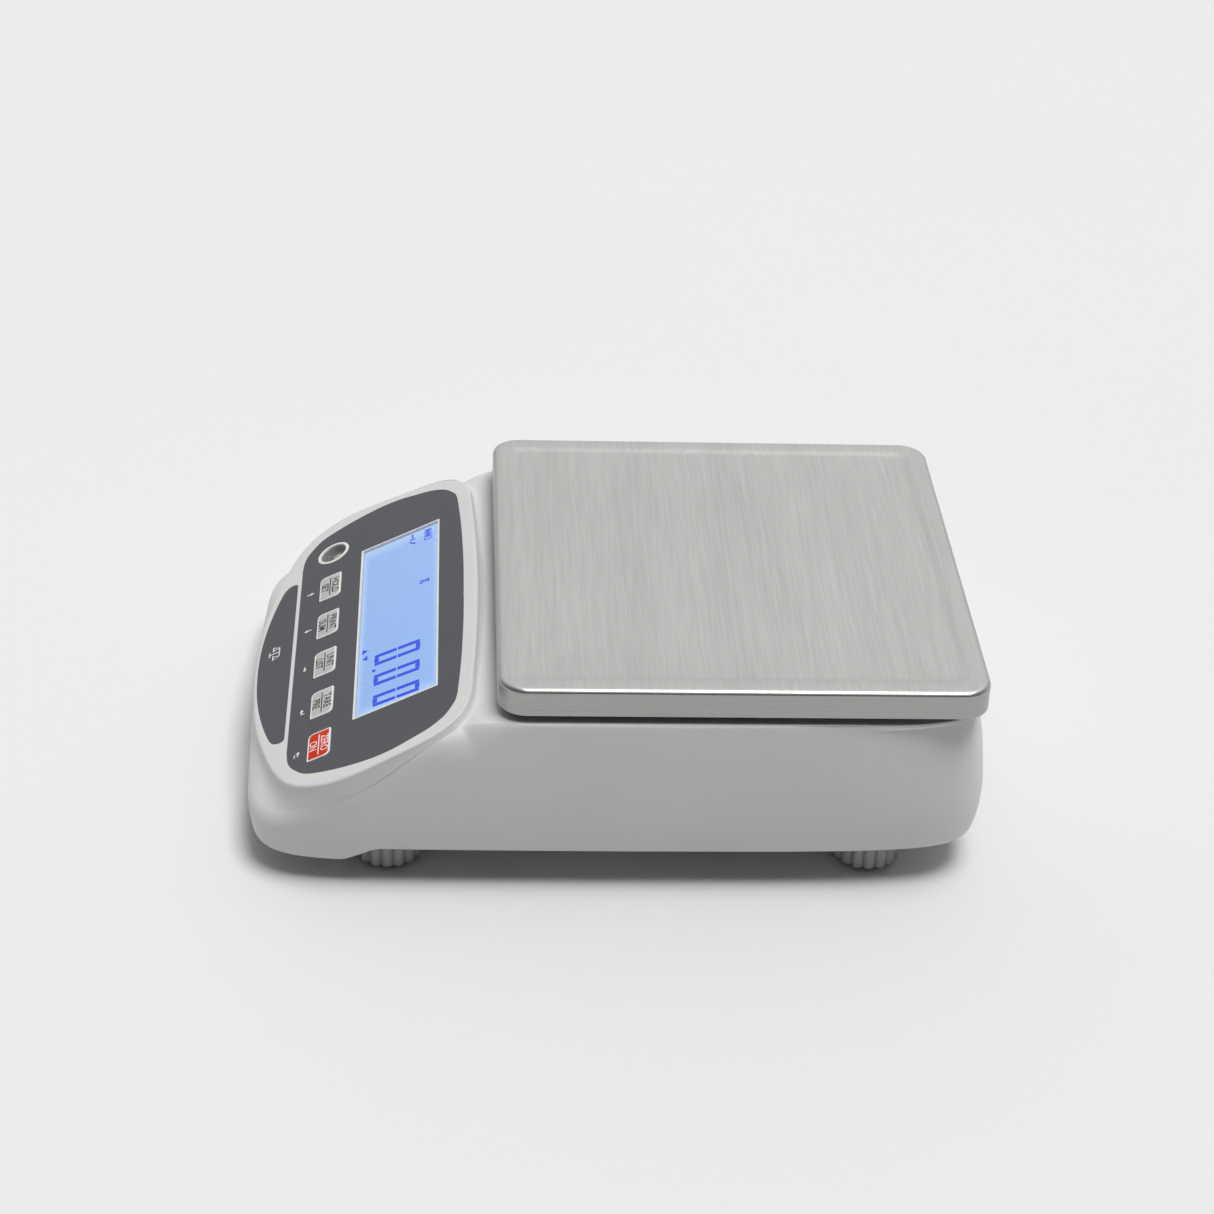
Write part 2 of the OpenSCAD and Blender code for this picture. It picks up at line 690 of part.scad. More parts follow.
module battery_lead_red() {
    color("red") lead([[-29.5, 68.5, lead_top], [-23, 66.5, lead_top + 1], [-19.5, 62, 58],
        [-19.5, 53, 44], [-19.5, 20, 30], [-19.4, -18, 28.5], [-15.5, -24, 27.5], [-8, -25.2, 27],
        [20, -25, 27], [50, -22, 27], [57, 0, 27], [57, 30, 31], [57, 40.5, 31.5]], 1.6);
}

module battery_lead_black() {
    color("black") lead([[-29.5, 48.5, lead_top], [-22, 46.5, lead_top + 1], [-17.4, 42, 58],
        [-17.4, 33, 44], [-17.4, 16, 30], [-17.4, -15.5, 28.5], [-14, -20.4, 27.5], [-7, -21.2, 27],
        [20, -21, 27], [46, -18, 27], [53, 2, 27], [53, 30, 31], [53, 40.5, 31.5]], 1.6);
}

module dc_jack() {
    color("black") translate([jack_x, 140.2, pcb_z + board_t]) difference() {
        block(9, 13.4, 10.6);
        translate([0, 10, 5.5]) rotate([90, 0, 0]) cylinder(d = 6.4, h = 13, $fn = 32);
    }
    color("silver") translate([jack_x, 145, pcb_z + board_t + 5.5]) rotate([90, 0, 0])
        cylinder(d = 2.1, h = 9, $fn = 24);
}

module serial_port() {
    color("silver") translate([port_x, 137, pcb_z + board_t]) {
        block(30.8, 10, 12.3);
        difference() {
            translate([0, 7.4, 2.2]) block(17, 6, 8.2);
            translate([0, 9.4, 3.2]) block(15, 6, 6.2);
        }
    }
}

module housing_screws() {
    color("silver") for (p = screw_spots) translate([p[0], p[1], floor_z + 10.5]) rotate([180, 0, 0])
        bolt(3.3, 7.6, 2, floor_z + 10.5 - base_z - 2.2);
}

// ---- Feet ----

module foot_inserts() {
    color("goldenrod") foot_spots() translate([0, 0, insert_z]) difference() {
        disc(insert_d, insert_h);
        translate([0, 0, -1]) cylinder(d = stud_d + 0.14, h = insert_h + 2, $fn = 48);
    }
}

module foot_sole() {
    color("dimgray") {
        disc(knob_d - 7, sole_t);
        translate([0, 0, sole_t - eps]) cylinder(d = 8, h = 5, $fn = 48);
    }
}

module foot_knob() {
    color("whitesmoke") translate([0, 0, knob_z]) difference() {
        union() {
            disc(knob_d - 3, knob_h);
            for (k = [0:knob_lobes - 1]) rotate([0, 0, k * 360 / knob_lobes])
                translate([knob_d / 2 - 1.9, 0, 0.6]) cylinder(d = 3.8, h = knob_h - 1.6, $fn = 24);
        }
        translate([0, 0, -1]) cylinder(d = 8.14, h = 6.4, $fn = 48);
        translate([0, 0, knob_h - 3]) cylinder(d = stud_d, h = 4, $fn = 48);
    }
}

module foot_stud() {
    z = knob_z + knob_h - 3;
    color("silver") translate([0, 0, z]) cylinder(d = stud_d, h = stud_top - z, $fn = 48);
}

module foot_sole_front_left() { foot_spot(-1, false) foot_sole(); }
module foot_sole_front_right() { foot_spot(1, false) foot_sole(); }
module foot_sole_rear_left() { foot_spot(-1, true) foot_sole(); }
module foot_sole_rear_right() { foot_spot(1, true) foot_sole(); }
module foot_knob_front_left() { foot_spot(-1, false) foot_knob(); }
module foot_knob_front_right() { foot_spot(1, false) foot_knob(); }
module foot_knob_rear_left() { foot_spot(-1, true) foot_knob(); }
module foot_knob_rear_right() { foot_spot(1, true) foot_knob(); }
module foot_stud_front_left() { foot_spot(-1, false) foot_stud(); }
module foot_stud_front_right() { foot_spot(1, false) foot_stud(); }
module foot_stud_rear_left() { foot_spot(-1, true) foot_stud(); }
module foot_stud_rear_right() { foot_spot(1, true) foot_stud(); }

upper_housing();
housing_posts();
base();
battery_door();
calibration_cover();
console_overlay();
nameplate();
display_lens();
lcd_glass();
lcd_backlight();
lcd_holder();
key_hold();
key_print();
key_unit();
key_tare();
key_zero();
key_switches();
display_board();
display_chips();
level_cup();
level_fluid();
level_lens();
level_ring();
platter();
platter_pads();
platform();
upper_spacer();
platform_screws();
load_cell();
gauge_covers();
lower_spacer();
cell_screws();
stop_screw();
stop_nut();
cell_cable();
main_board();
main_chips();
adc_shield();
board_screws();
ribbon_cable();
battery();
battery_lead_red();
battery_lead_black();
dc_jack();
serial_port();
housing_screws();
foot_inserts();
foot_sole_front_left();
foot_sole_front_right();
foot_sole_rear_left();
foot_sole_rear_right();
foot_knob_front_left();
foot_knob_front_right();
foot_knob_rear_left();
foot_knob_rear_right();
foot_stud_front_left();
foot_stud_front_right();
foot_stud_rear_left();
foot_stud_rear_right();
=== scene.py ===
import math
import bpy
import bmesh
import numpy as np
from mathutils import Matrix, Vector


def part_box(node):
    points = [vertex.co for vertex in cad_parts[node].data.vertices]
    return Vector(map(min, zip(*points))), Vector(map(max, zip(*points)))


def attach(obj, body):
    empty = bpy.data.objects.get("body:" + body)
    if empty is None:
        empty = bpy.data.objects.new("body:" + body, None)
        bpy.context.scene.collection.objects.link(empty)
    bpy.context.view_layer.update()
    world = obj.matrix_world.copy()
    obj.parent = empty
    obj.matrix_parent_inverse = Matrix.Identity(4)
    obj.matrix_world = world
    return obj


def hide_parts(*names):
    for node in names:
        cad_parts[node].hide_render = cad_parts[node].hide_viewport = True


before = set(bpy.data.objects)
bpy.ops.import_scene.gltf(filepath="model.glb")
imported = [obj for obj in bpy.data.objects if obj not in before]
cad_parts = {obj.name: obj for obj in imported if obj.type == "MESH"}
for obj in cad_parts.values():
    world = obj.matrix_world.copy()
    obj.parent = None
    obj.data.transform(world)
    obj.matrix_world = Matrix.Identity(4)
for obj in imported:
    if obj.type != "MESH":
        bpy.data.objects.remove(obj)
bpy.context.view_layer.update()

MM = 0.001


def box_mm(node_name):
    """The lowest and highest corners of a CAD node's box, in millimetres."""
    return [[round(v / MM, 2) for v in corner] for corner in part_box(node_name)]


def centre(node_name):
    """The middle of a CAD node's box, in millimetres."""
    return [round((a + b) / 2, 2) for a, b in zip(*box_mm(node_name))]


# The housing's driving dimensions in millimetres, as in the part's source
TILT = math.radians(26.9)
CONSOLE_Y, CONSOLE_Z = -66.5, 71.9
HALF_W, HALF_L, REAR = 103.0, 147.0, 1.1
DECK_Z, EDGE_Z, TOE_DROP, WALL = 76.0, 17.3, 6.3, 2.5
CONSOLE = Matrix.Translation((0, CONSOLE_Y * MM, CONSOLE_Z * MM)) @ Matrix.Rotation(TILT, 4, "X")


# ---- Camera ----

camera = bpy.data.objects.new("camera", bpy.data.cameras.new("camera"))
bpy.context.scene.collection.objects.link(camera)
# solved from the straight edges of the platter and the console; its place is in metres
camera.matrix_world = Matrix((
    (0.0458, -0.5358, 0.8431, 0.9586),
    (0.9981, -0.0102, -0.0607, -0.0699),
    (0.0412, 0.8443, 0.5344, 0.6741),
    (0, 0, 0, 1)))
camera.data.lens = 81.6
camera.data.sensor_width = 36
camera.data.clip_start = 0.01
bpy.context.scene.camera = camera
bpy.context.scene.view_settings.view_transform = "Standard"


# ---- Materials ----

def node(tree, kind, **values):
    """A shader node of a kind, with some of its settings."""
    n = tree.nodes.new("ShaderNode" + kind)
    for key, value in values.items():
        setattr(n, key, value)
    return n


def noise(tree, coords, scale, detail=3.0, stretch=(1, 1, 1)):
    """Noise over coords, whose space is scaled by stretch first."""
    place = node(tree, "Mapping")
    place.inputs["Scale"].default_value = stretch
    tree.links.new(coords, place.inputs["Vector"])
    n = node(tree, "TexNoise")
    n.inputs["Scale"].default_value = scale
    n.inputs["Detail"].default_value = detail
    tree.links.new(place.outputs["Vector"], n.inputs["Vector"])
    return n.outputs["Fac"]


def ramp(tree, fac, stops):
    """A colour that runs through the stops, each a position and a colour."""
    r = node(tree, "ValToRGB")
    elements = r.color_ramp.elements
    while len(elements) < len(stops):
        elements.new(0.5)
    for e, (pos, color) in zip(elements, stops):
        e.position = pos
        e.color = (*color, 1)
    tree.links.new(fac, r.inputs["Fac"])
    return r.outputs["Color"]


def spread(tree, fac, low, high):
    """A noise value spread between low and high."""
    m = node(tree, "MapRange")
    m.inputs["From Min"].default_value = 0.3
    m.inputs["From Max"].default_value = 0.7
    m.inputs["To Min"].default_value = low
    m.inputs["To Max"].default_value = high
    tree.links.new(fac, m.inputs["Value"])
    return m.outputs["Result"]


def shade(color, k):
    """A colour made k times as bright."""
    return tuple(min(1.0, c * k) for c in color)


def surface(name, color, vary, tone_scale, rough, rough_scale, bump, stretch=(1, 1, 1), **sockets):
    """A material whose tone, roughness and fine relief come from noise in object coordinates.

    vary is the share by which the tone changes, and bump is the relief's noise scale, strength and depth.
    """
    m = bpy.data.materials.new(name)
    m.use_nodes = True
    tree = m.node_tree
    bsdf = tree.nodes["Principled BSDF"]
    coords = node(tree, "TexCoord").outputs["Object"]
    tone = noise(tree, coords, tone_scale, 4, stretch)
    tree.links.new(ramp(tree, tone, [(0.35, shade(color, 1 - vary)), (0.65, shade(color, 1 + vary))]),
                   bsdf.inputs["Base Color"])
    wear = noise(tree, coords, rough_scale, 3, stretch)
    tree.links.new(spread(tree, wear, *rough), bsdf.inputs["Roughness"])
    relief = node(tree, "Bump")
    relief.inputs["Strength"].default_value = bump[1]
    relief.inputs["Distance"].default_value = bump[2]
    tree.links.new(noise(tree, coords, bump[0], 2, stretch), relief.inputs["Height"])
    tree.links.new(relief.outputs["Normal"], bsdf.inputs["Normal"])
    for key, value in sockets.items():
        bsdf.inputs[key.replace("_", " ")].default_value = value
    return m


WHITE = surface("white_plastic", (0.635, 0.635, 0.628), 0.015, 18, (0.40, 0.48), 40, (1500, 0.16, 0.00005))
BASE = surface("base_plastic", (0.57, 0.57, 0.56), 0.02, 18, (0.5, 0.6), 40, (1100, 0.22, 0.00006))
# The knob's grey is partly its own colour and partly painted shade: it is darkened to stand in for the shade
# it sits in under the housing.
KNOB_SHADED = surface("knob_plastic", (0.33, 0.33, 0.326), 0.02, 90, (0.42, 0.52), 120, (1600, 0.25, 0.00005))
FILM = surface("console_film", (0.062, 0.064, 0.075), 0.015, 30, (0.455, 0.475), 50, (3000, 0.1, 0.00002))
KEY_GREY = surface("key_grey", (0.47, 0.47, 0.46), 0.03, 40, (0.42, 0.5), 60, (2600, 0.1, 0.00002))
KEY_RED = surface("key_red", (0.58, 0.026, 0.001), 0.05, 40, (0.45, 0.52), 60, (2600, 0.1, 0.00002),
                  Specular_IOR_Level=0.15)
INK_WHITE = surface("ink_white", (0.74, 0.74, 0.73), 0.03, 60, (0.45, 0.55), 80, (3000, 0.1, 0.00001))
INK_BLACK = surface("ink_black", (0.02, 0.02, 0.022), 0.1, 60, (0.45, 0.55), 80, (3000, 0.1, 0.00001))
RUBBER = surface("rubber", (0.025, 0.025, 0.026), 0.15, 40, (0.65, 0.8), 70, (1400, 0.3, 0.00006))
SOLE = surface("sole_rubber", (0.16, 0.16, 0.16), 0.12, 40, (0.65, 0.8), 70, (1400, 0.3, 0.00006))
SCREW = surface("zinc_plate", (0.62, 0.62, 0.61), 0.06, 300, (0.22, 0.36), 400, (2500, 0.12, 0.00003),
                Metallic=1.0)
ALLOY = surface("machined_alloy", (0.70, 0.71, 0.72), 0.05, 60, (0.28, 0.4), 120, (900, 0.2, 0.00004),
                (0.2, 6, 1), Metallic=1.0)
CAST = surface("cast_alloy", (0.40, 0.405, 0.41), 0.12, 120, (0.45, 0.62), 200, (700, 0.5, 0.00015),
               Metallic=1.0)
BRASS = surface("brass", (0.62, 0.42, 0.15), 0.08, 200, (0.25, 0.38), 300, (2000, 0.15, 0.00003),
                Metallic=1.0)
GOLD = surface("gold_contact", (0.75, 0.52, 0.16), 0.06, 400, (0.2, 0.3), 400, (3000, 0.1, 0.00002),
               Metallic=1.0)
BOARD = surface("solder_mask", (0.012, 0.11, 0.045), 0.2, 500, (0.3, 0.42), 300, (900, 0.3, 0.00005))
CHIP = surface("moulded_epoxy", (0.012, 0.012, 0.013), 0.2, 300, (0.5, 0.65), 300, (2500, 0.3, 0.00004))
BLACK = surface("black_plastic", (0.015, 0.015, 0.016), 0.15, 60, (0.4, 0.5), 80, (1800, 0.2, 0.00004))
IVORY = surface("holder_plastic", (0.70, 0.68, 0.62), 0.03, 40, (0.45, 0.55), 60, (1500, 0.2, 0.00005))
CASE = surface("battery_case", (0.035, 0.038, 0.045), 0.1, 40, (0.4, 0.52), 60, (1300, 0.25, 0.00005))
SEALANT = surface("sealing_compound", (0.72, 0.72, 0.70), 0.05, 90, (0.35, 0.5), 120, (350, 0.5, 0.0002))
JACKET = surface("cable_jacket", (0.24, 0.24, 0.25), 0.06, 90, (0.45, 0.58), 120, (2000, 0.2, 0.00004))
RED_WIRE = surface("red_wire", (0.42, 0.012, 0.01), 0.08, 90, (0.4, 0.5), 120, (2000, 0.2, 0.00003))
RIBBON = surface("ribbon", (0.36, 0.36, 0.37), 0.08, 700, (0.4, 0.5), 300, (900, 0.5, 0.0001),
                 (1, 0.02, 0.02))
TIN = surface("tin_plate", (0.60, 0.60, 0.60), 0.06, 200, (0.25, 0.38), 250, (2000, 0.15, 0.00003),
              Metallic=1.0)
FOIL = surface("label_foil", (0.60, 0.60, 0.61), 0.04, 80, (0.3, 0.4), 100, (900, 0.15, 0.00003),
               Metallic=0.8)
LEVEL = surface("level_plastic", (0.22, 0.22, 0.215), 0.06, 120, (0.3, 0.4), 200, (2000, 0.15, 0.00003))
BUBBLE = surface("bubble", (0.40, 0.42, 0.37), 0.05, 200, (0.08, 0.14), 200, (1500, 0.05, 0.00002))
CLEAR = surface("clear_acrylic", (0.30, 0.33, 0.38), 0.01, 40, (0.08, 0.14), 60, (600, 0.02, 0.00002),
                Alpha=0.07)
LIQUID = surface("level_liquid", (0.15, 0.155, 0.13), 0.06, 120, (0.1, 0.16), 120, (900, 0.05, 0.00002))


def brushed(name, color, rough, grain):
    """Brushed steel: faint streaks in tone, roughness and relief, long where grain is 1 and fine across."""
    across = tuple(1 if g == 1 else 50 for g in grain)
    m = surface(name, color, 0.02, 36, rough, 36, (40, 0.10, 0.00002), across, Metallic=1.0)
    tree = m.node_tree
    bsdf = tree.nodes["Principled BSDF"]
    coords = node(tree, "TexCoord").outputs["Object"]
    fine = ramp(tree, noise(tree, coords, 20, 4, across), [(0.3, (0.92, 0.92, 0.92)), (0.7, (1, 1, 1))])
    long = ramp(tree, noise(tree, coords, 6, 3, grain), [(0.3, (0.94, 0.94, 0.94)), (0.7, (1, 1, 1))])
    old = bsdf.inputs["Base Color"].links[0].from_socket
    for layer in (fine, long):
        mix = node(tree, "Mix", data_type="RGBA", blend_type="MULTIPLY")
        mix.inputs["Factor"].default_value = 1
        tree.links.new(old, mix.inputs["A"])
        tree.links.new(layer, mix.inputs["B"])
        old = mix.outputs["Result"]
    tree.links.new(old, bsdf.inputs["Base Color"])
    bsdf.inputs["Anisotropic"].default_value = 0.55
    tangent = node(tree, "Tangent", direction_type="UV_MAP", uv_map="grain")
    tree.links.new(tangent.outputs["Tangent"], bsdf.inputs["Tangent"])
    return m


STEEL = brushed("brushed_steel", (0.60, 0.595, 0.58), (0.31, 0.36), (1, 9, 9))
# The skirt is the same steel as the top; this darker copy is painted shade on the tray's side faces.
SHADED_SKIRT_STEEL = brushed("brushed_skirt_painted_shade", (0.42, 0.416, 0.405), (0.26, 0.34), (1, 1, 9))


def lit(name, middle, edge, strength, half_w, half_h):
    """A back-lit panel: its colour pales towards the edges."""
    m = surface(name, shade(middle, 0.35), 0.02, 60, (0.25, 0.35), 80, (2500, 0.05, 0.00001))
    tree = m.node_tree
    bsdf = tree.nodes["Principled BSDF"]
    parts = node(tree, "SeparateXYZ")
    tree.links.new(node(tree, "TexCoord").outputs["Object"], parts.inputs["Vector"])
    near = node(tree, "Math", operation="MAXIMUM")
    for k, (axis, half, fade) in enumerate((("X", half_w, 0.010), ("Y", half_h, 0.004))):
        size = node(tree, "Math", operation="ABSOLUTE")
        tree.links.new(parts.outputs[axis], size.inputs[0])
        share = node(tree, "MapRange", interpolation_type="SMOOTHSTEP")
        share.inputs["From Min"].default_value = half - fade
        share.inputs["From Max"].default_value = half
        tree.links.new(size.outputs["Value"], share.inputs["Value"])
        tree.links.new(share.outputs["Result"], near.inputs[k])
    tree.links.new(ramp(tree, near.outputs["Value"], [(0.0, middle), (1.0, edge)]),
                   bsdf.inputs["Emission Color"])
    bsdf.inputs["Emission Strength"].default_value = strength
    return m


# half the window in metres is where its glow has paled
SCREEN = lit("screen", (0.27, 0.45, 0.83), (0.50, 0.68, 0.92), 0.78, 0.064, 0.0188)
SEGMENT = surface("segment_blue", (0.005, 0.01, 0.20), 0.05, 90, (0.4, 0.5), 90, (2500, 0.05, 0.00001),
                  Emission_Color=(0.012, 0.055, 0.80, 1), Emission_Strength=0.82, Specular_IOR_Level=0.1)


# ---- Mesh helpers: everything is drawn in millimetres ----

def add_object(name, mesh, material, sharp=35):
    """An object from a mesh in millimetres, smooth but for edges sharper than an angle in degrees."""
    mesh.transform(Matrix.Scale(MM, 4))
    edit = bmesh.new()
    edit.from_mesh(mesh)
    bmesh.ops.recalc_face_normals(edit, faces=edit.faces)
    limit = math.radians(sharp)
    for f in edit.faces:
        f.smooth = True
    for e in edit.edges:
        e.smooth = len(e.link_faces) == 2 and e.calc_face_angle(0) < limit
    edit.to_mesh(mesh)
    edit.free()
    mesh.materials.clear()
    mesh.materials.append(material)
    o = bpy.data.objects.new(name, mesh)
    bpy.context.scene.collection.objects.link(o)
    return o


def mesh_of(points, faces):
    mesh = bpy.data.meshes.new("part")
    mesh.from_pydata([tuple(p) for p in points], [], [tuple(f) for f in faces])
    mesh.update()
    return mesh


def loft(loops, ring=False, capped=True):
    """Quads between loops of equal length; ring joins the last loop to the first, or else caps close both."""
    n = len(loops[0])
    points = [p for loop in loops for p in loop]
    faces = []
    spans = len(loops) if ring else len(loops) - 1
    for j in range(spans):
        a, b = j * n, (j + 1) % len(loops) * n
        faces += [(a + i, a + (i + 1) % n, b + (i + 1) % n, b + i) for i in range(n)]
    if capped and not ring:
        faces.append(tuple(range(n))[::-1])
        faces.append(tuple(range(len(points) - n, len(points))))
    return mesh_of(points, faces)


def joined(meshes):
    """One mesh from several, which stay apart in it."""
    out = bmesh.new()
    for m in meshes:
        out.from_mesh(m)
    mesh = bpy.data.meshes.new("part")
    out.to_mesh(mesh)
    out.free()
    return mesh


def moved(mesh, x=0, y=0, z=0, turn=0):
    """A mesh turned about z by an angle in degrees, then moved."""
    mesh.transform(Matrix.Translation((x, y, z)) @ Matrix.Rotation(math.radians(turn), 4, "Z"))
    return mesh


def circle(r, n=48):
    return [(r * math.cos(2 * math.pi * i / n), r * math.sin(2 * math.pi * i / n)) for i in range(n)]


def at_z(outline, z):
    return [(p[0], p[1], z) for p in outline]


def lathe(profile, n=48):
    """A solid turned round z; its profile is a list of radius and height."""
    return loft([at_z(circle(r, n), z) for r, z in profile])


def four(radii):
    """Corner radii lower left, lower right, upper right, upper left, from one radius or all four."""
    return radii if isinstance(radii, list) else [radii] * 4


def rounded(w, l, radii, n=8):
    """A rectangle with rounded corners, n steps each."""
    out = []
    for k, (sx, sy) in enumerate([(-1, -1), (1, -1), (1, 1), (-1, 1)]):
        r = four(radii)[k]
        for i in range(n + 1):
            a = math.pi + (k + i / n) * math.pi / 2
            out.append((sx * (w / 2 - r) + r * math.cos(a), sy * (l / 2 - r) + r * math.sin(a)))
    return out


def eased(w, l, radii, z0, z1, edge):
    """A plate between z0 and z1 whose top edge is rounded by edge."""
    def inset(d):
        return rounded(w - 2 * d, l - 2 * d, [max(r - d, 0.02) for r in four(radii)])

    arc = [(edge * (1 - math.cos(a)), edge * (1 - math.sin(a))) for a in (0, 0.52, 1.05, math.pi / 2)]
    return loft([at_z(inset(0), z0)] + [at_z(inset(d), z1 - h) for d, h in arc])


def prism(outline, z0, z1):
    return loft([at_z(outline, z0), at_z(outline, z1)])


def box(w, l, h, x=0, y=0, z=0):
    """A box centred on x, y and standing on z."""
    return moved(prism([(-w / 2, -l / 2), (w / 2, -l / 2), (w / 2, l / 2), (-w / 2, l / 2)], 0, h), x, y, z)


def carve(mesh, *cutters):
    """A mesh less each cutter in turn."""
    o = bpy.data.objects.new("carved", mesh)
    bpy.context.scene.collection.objects.link(o)
    for m in cutters:
        tool = bpy.data.objects.new("tool", m)
        bpy.context.scene.collection.objects.link(tool)
        cut = o.modifiers.new("cut", "BOOLEAN")
        cut.operation, cut.solver, cut.object = "DIFFERENCE", "EXACT", tool
        done = bpy.data.meshes.new_from_object(o.evaluated_get(bpy.context.evaluated_depsgraph_get()))
        o.modifiers.clear()
        o.data = done
        bpy.data.objects.remove(tool)
    result = o.data
    bpy.data.objects.remove(o)
    return result


def piece(name, mesh, material, body, node_name=None, local=None, sharp=35):
    """A visible piece in a material that rides on a CAD body, and may stand in for a CAD node."""
    o = add_object(name, mesh, material, sharp)
    if local is not None:
        o.matrix_world = local
    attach(o, body)
    if node_name:
        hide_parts(node_name)
    return o


def dress(material, *names):
    """Give a material to CAD nodes that keep their own shape."""
    for name in names:
        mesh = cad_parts[name].data
        mesh.materials.clear()
        mesh.materials.append(material)
        edit = bmesh.new()
        edit.from_mesh(mesh)
        for f in edit.faces:
            f.material_index = 0
        edit.to_mesh(mesh)
        edit.free()


# ---- Housing shell ----

# The shell is drawn along rays that fan out from a hub near the front
HUB = (0.0, -120.0)
# The plan: how far its sides stand in and bow, how far its front bows, and how square its corners are
SIDE_IN, SIDE_BOW, FRONT_BOW, PLAN_POWER = 0.7, 1.5, 1.8, 10
# The height at which the wall stands farthest out
BELT_Z = 34
# The cheek: where it starts, over what length it grows, its greatest depth, and its share at full strength
FLOW_Y, FLOW_L, FLOW_DEPTH, FLOW_SHARE = -66.0, 34.0, 18.0, 0.72
# The rim's eased edges: the outer one's drop, and the inner one's points, each back from the rim and down
RIM_EASE = 0.75
RIM_CREST = ((1.6, 0.0), (0.9, 0.05), (0.45, 0.18), (0.15, 0.42))
# Half the rim in the console's plane, and where its back turns from the side curve to a shallow arc
RIM_SIDE = [(0, -90), (34, -87.6), (60, -82), (80, -75), (92, -67), (99, -55.5), (101.3, -43),
            (100.2, -25), (98.4, -10), (94.6, 0.4), (87.6, 7.2), (78, 10.3), (66, 11.22)]
CORNER_X = 24.5


def step(t):
    """0 below 0, 1 above 1 and a smooth climb between."""
    u = min(1.0, max(0.0, t))
    return u * u * (3 - 2 * u)


def soft_min(a, b, k):
    """The smaller of a and b, with a smooth change over where they are less than k apart."""
    h = max(0.0, k - abs(a - b)) / k
    return min(a, b) - h * h * k / 4


def console_at(y):
    """The height of the console's plane at y."""
    return CONSOLE_Z + (y - CONSOLE_Y) * math.tan(TILT)


def body_at(y):
    """The height of the housing round the console, a ledge below its plane, and of the deck behind it."""
    ledge = 5 + 5.5 * step((y + 108) / 20) - 7.2 * step((y + 85) / 33)
    return soft_min(DECK_Z, console_at(y) - ledge, 7)


def edge_at(y):
    """The height of the lower edge, which dips at the front toe."""
    return EDGE_Z - TOE_DROP * step((-91 - y) / 17)


def in_plan(x, y, inset):
    """Whether x, y lies in the housing's plan, a box with soft corners and slightly bowed sides."""
    a = HALF_W - SIDE_IN - SIDE_BOW * (y / HALF_L) ** 2 - inset
    b = HALF_L + (-FRONT_BOW * (x / HALF_W) ** 2 if y < 0 else REAR) - inset
    return (abs(x) / a) ** PLAN_POWER + (abs(y) / b) ** PLAN_POWER < 1


def plan_r(d, inset):
    """The distance from the hub to the plan's outline in the direction d, found by halving."""
    lo, hi = 0.0, 320.0
    for _ in range(18):
        mid = (lo + hi) / 2
        if in_plan(HUB[0] + mid * d[0], HUB[1] + mid * d[1], inset):
            lo = mid
        else:
            hi = mid
    return (lo + hi) / 2


def lean(z, y):
    """How far the wall leans in at height z: towards the deck above the belt, under the housing below it."""
    above, below = max(0, z - BELT_Z) / 42, max(0, BELT_Z - z) / 20
    return (2.8 * above ** 1.6 + 1.3 * below ** 2) * (1 + 1.1 * step((y - 60) / 80))


def smooth_path(p, n):
    """A smooth curve through the points p, n steps a span, without its last point."""
    out = []
    for i in range(len(p) - 1):
        a, b, c, d = (np.array(p[k]) for k in (max(0, i - 1), i, i + 1, min(len(p) - 1, i + 2)))
        for k in range(n):
            t = k / n
            out.append(tuple(0.5 * (2 * b + (c - a) * t + (2 * a - 5 * b + 4 * c - d) * t * t
                                    + (3 * b - a - 3 * c + d) * t ** 3)))
    return out


def rim_loop():
    """The rim's outline in the console's plane: one side, the nearly straight back, and their mirror."""
    end_x = RIM_SIDE[-1][0]
    back = [CORNER_X + (end_x - CORNER_X) * (v / 24) ** 2 for v in range(24, 0, -1)]
    back += [CORNER_X * (1 - (w / 18) ** 2) for w in range(19)]
    half = smooth_path(RIM_SIDE, 9) + [(x, 13.4 - 0.0005 * x * x) for x in back]
    return half + [(-x, s) for x, s in half[-2:0:-1]]


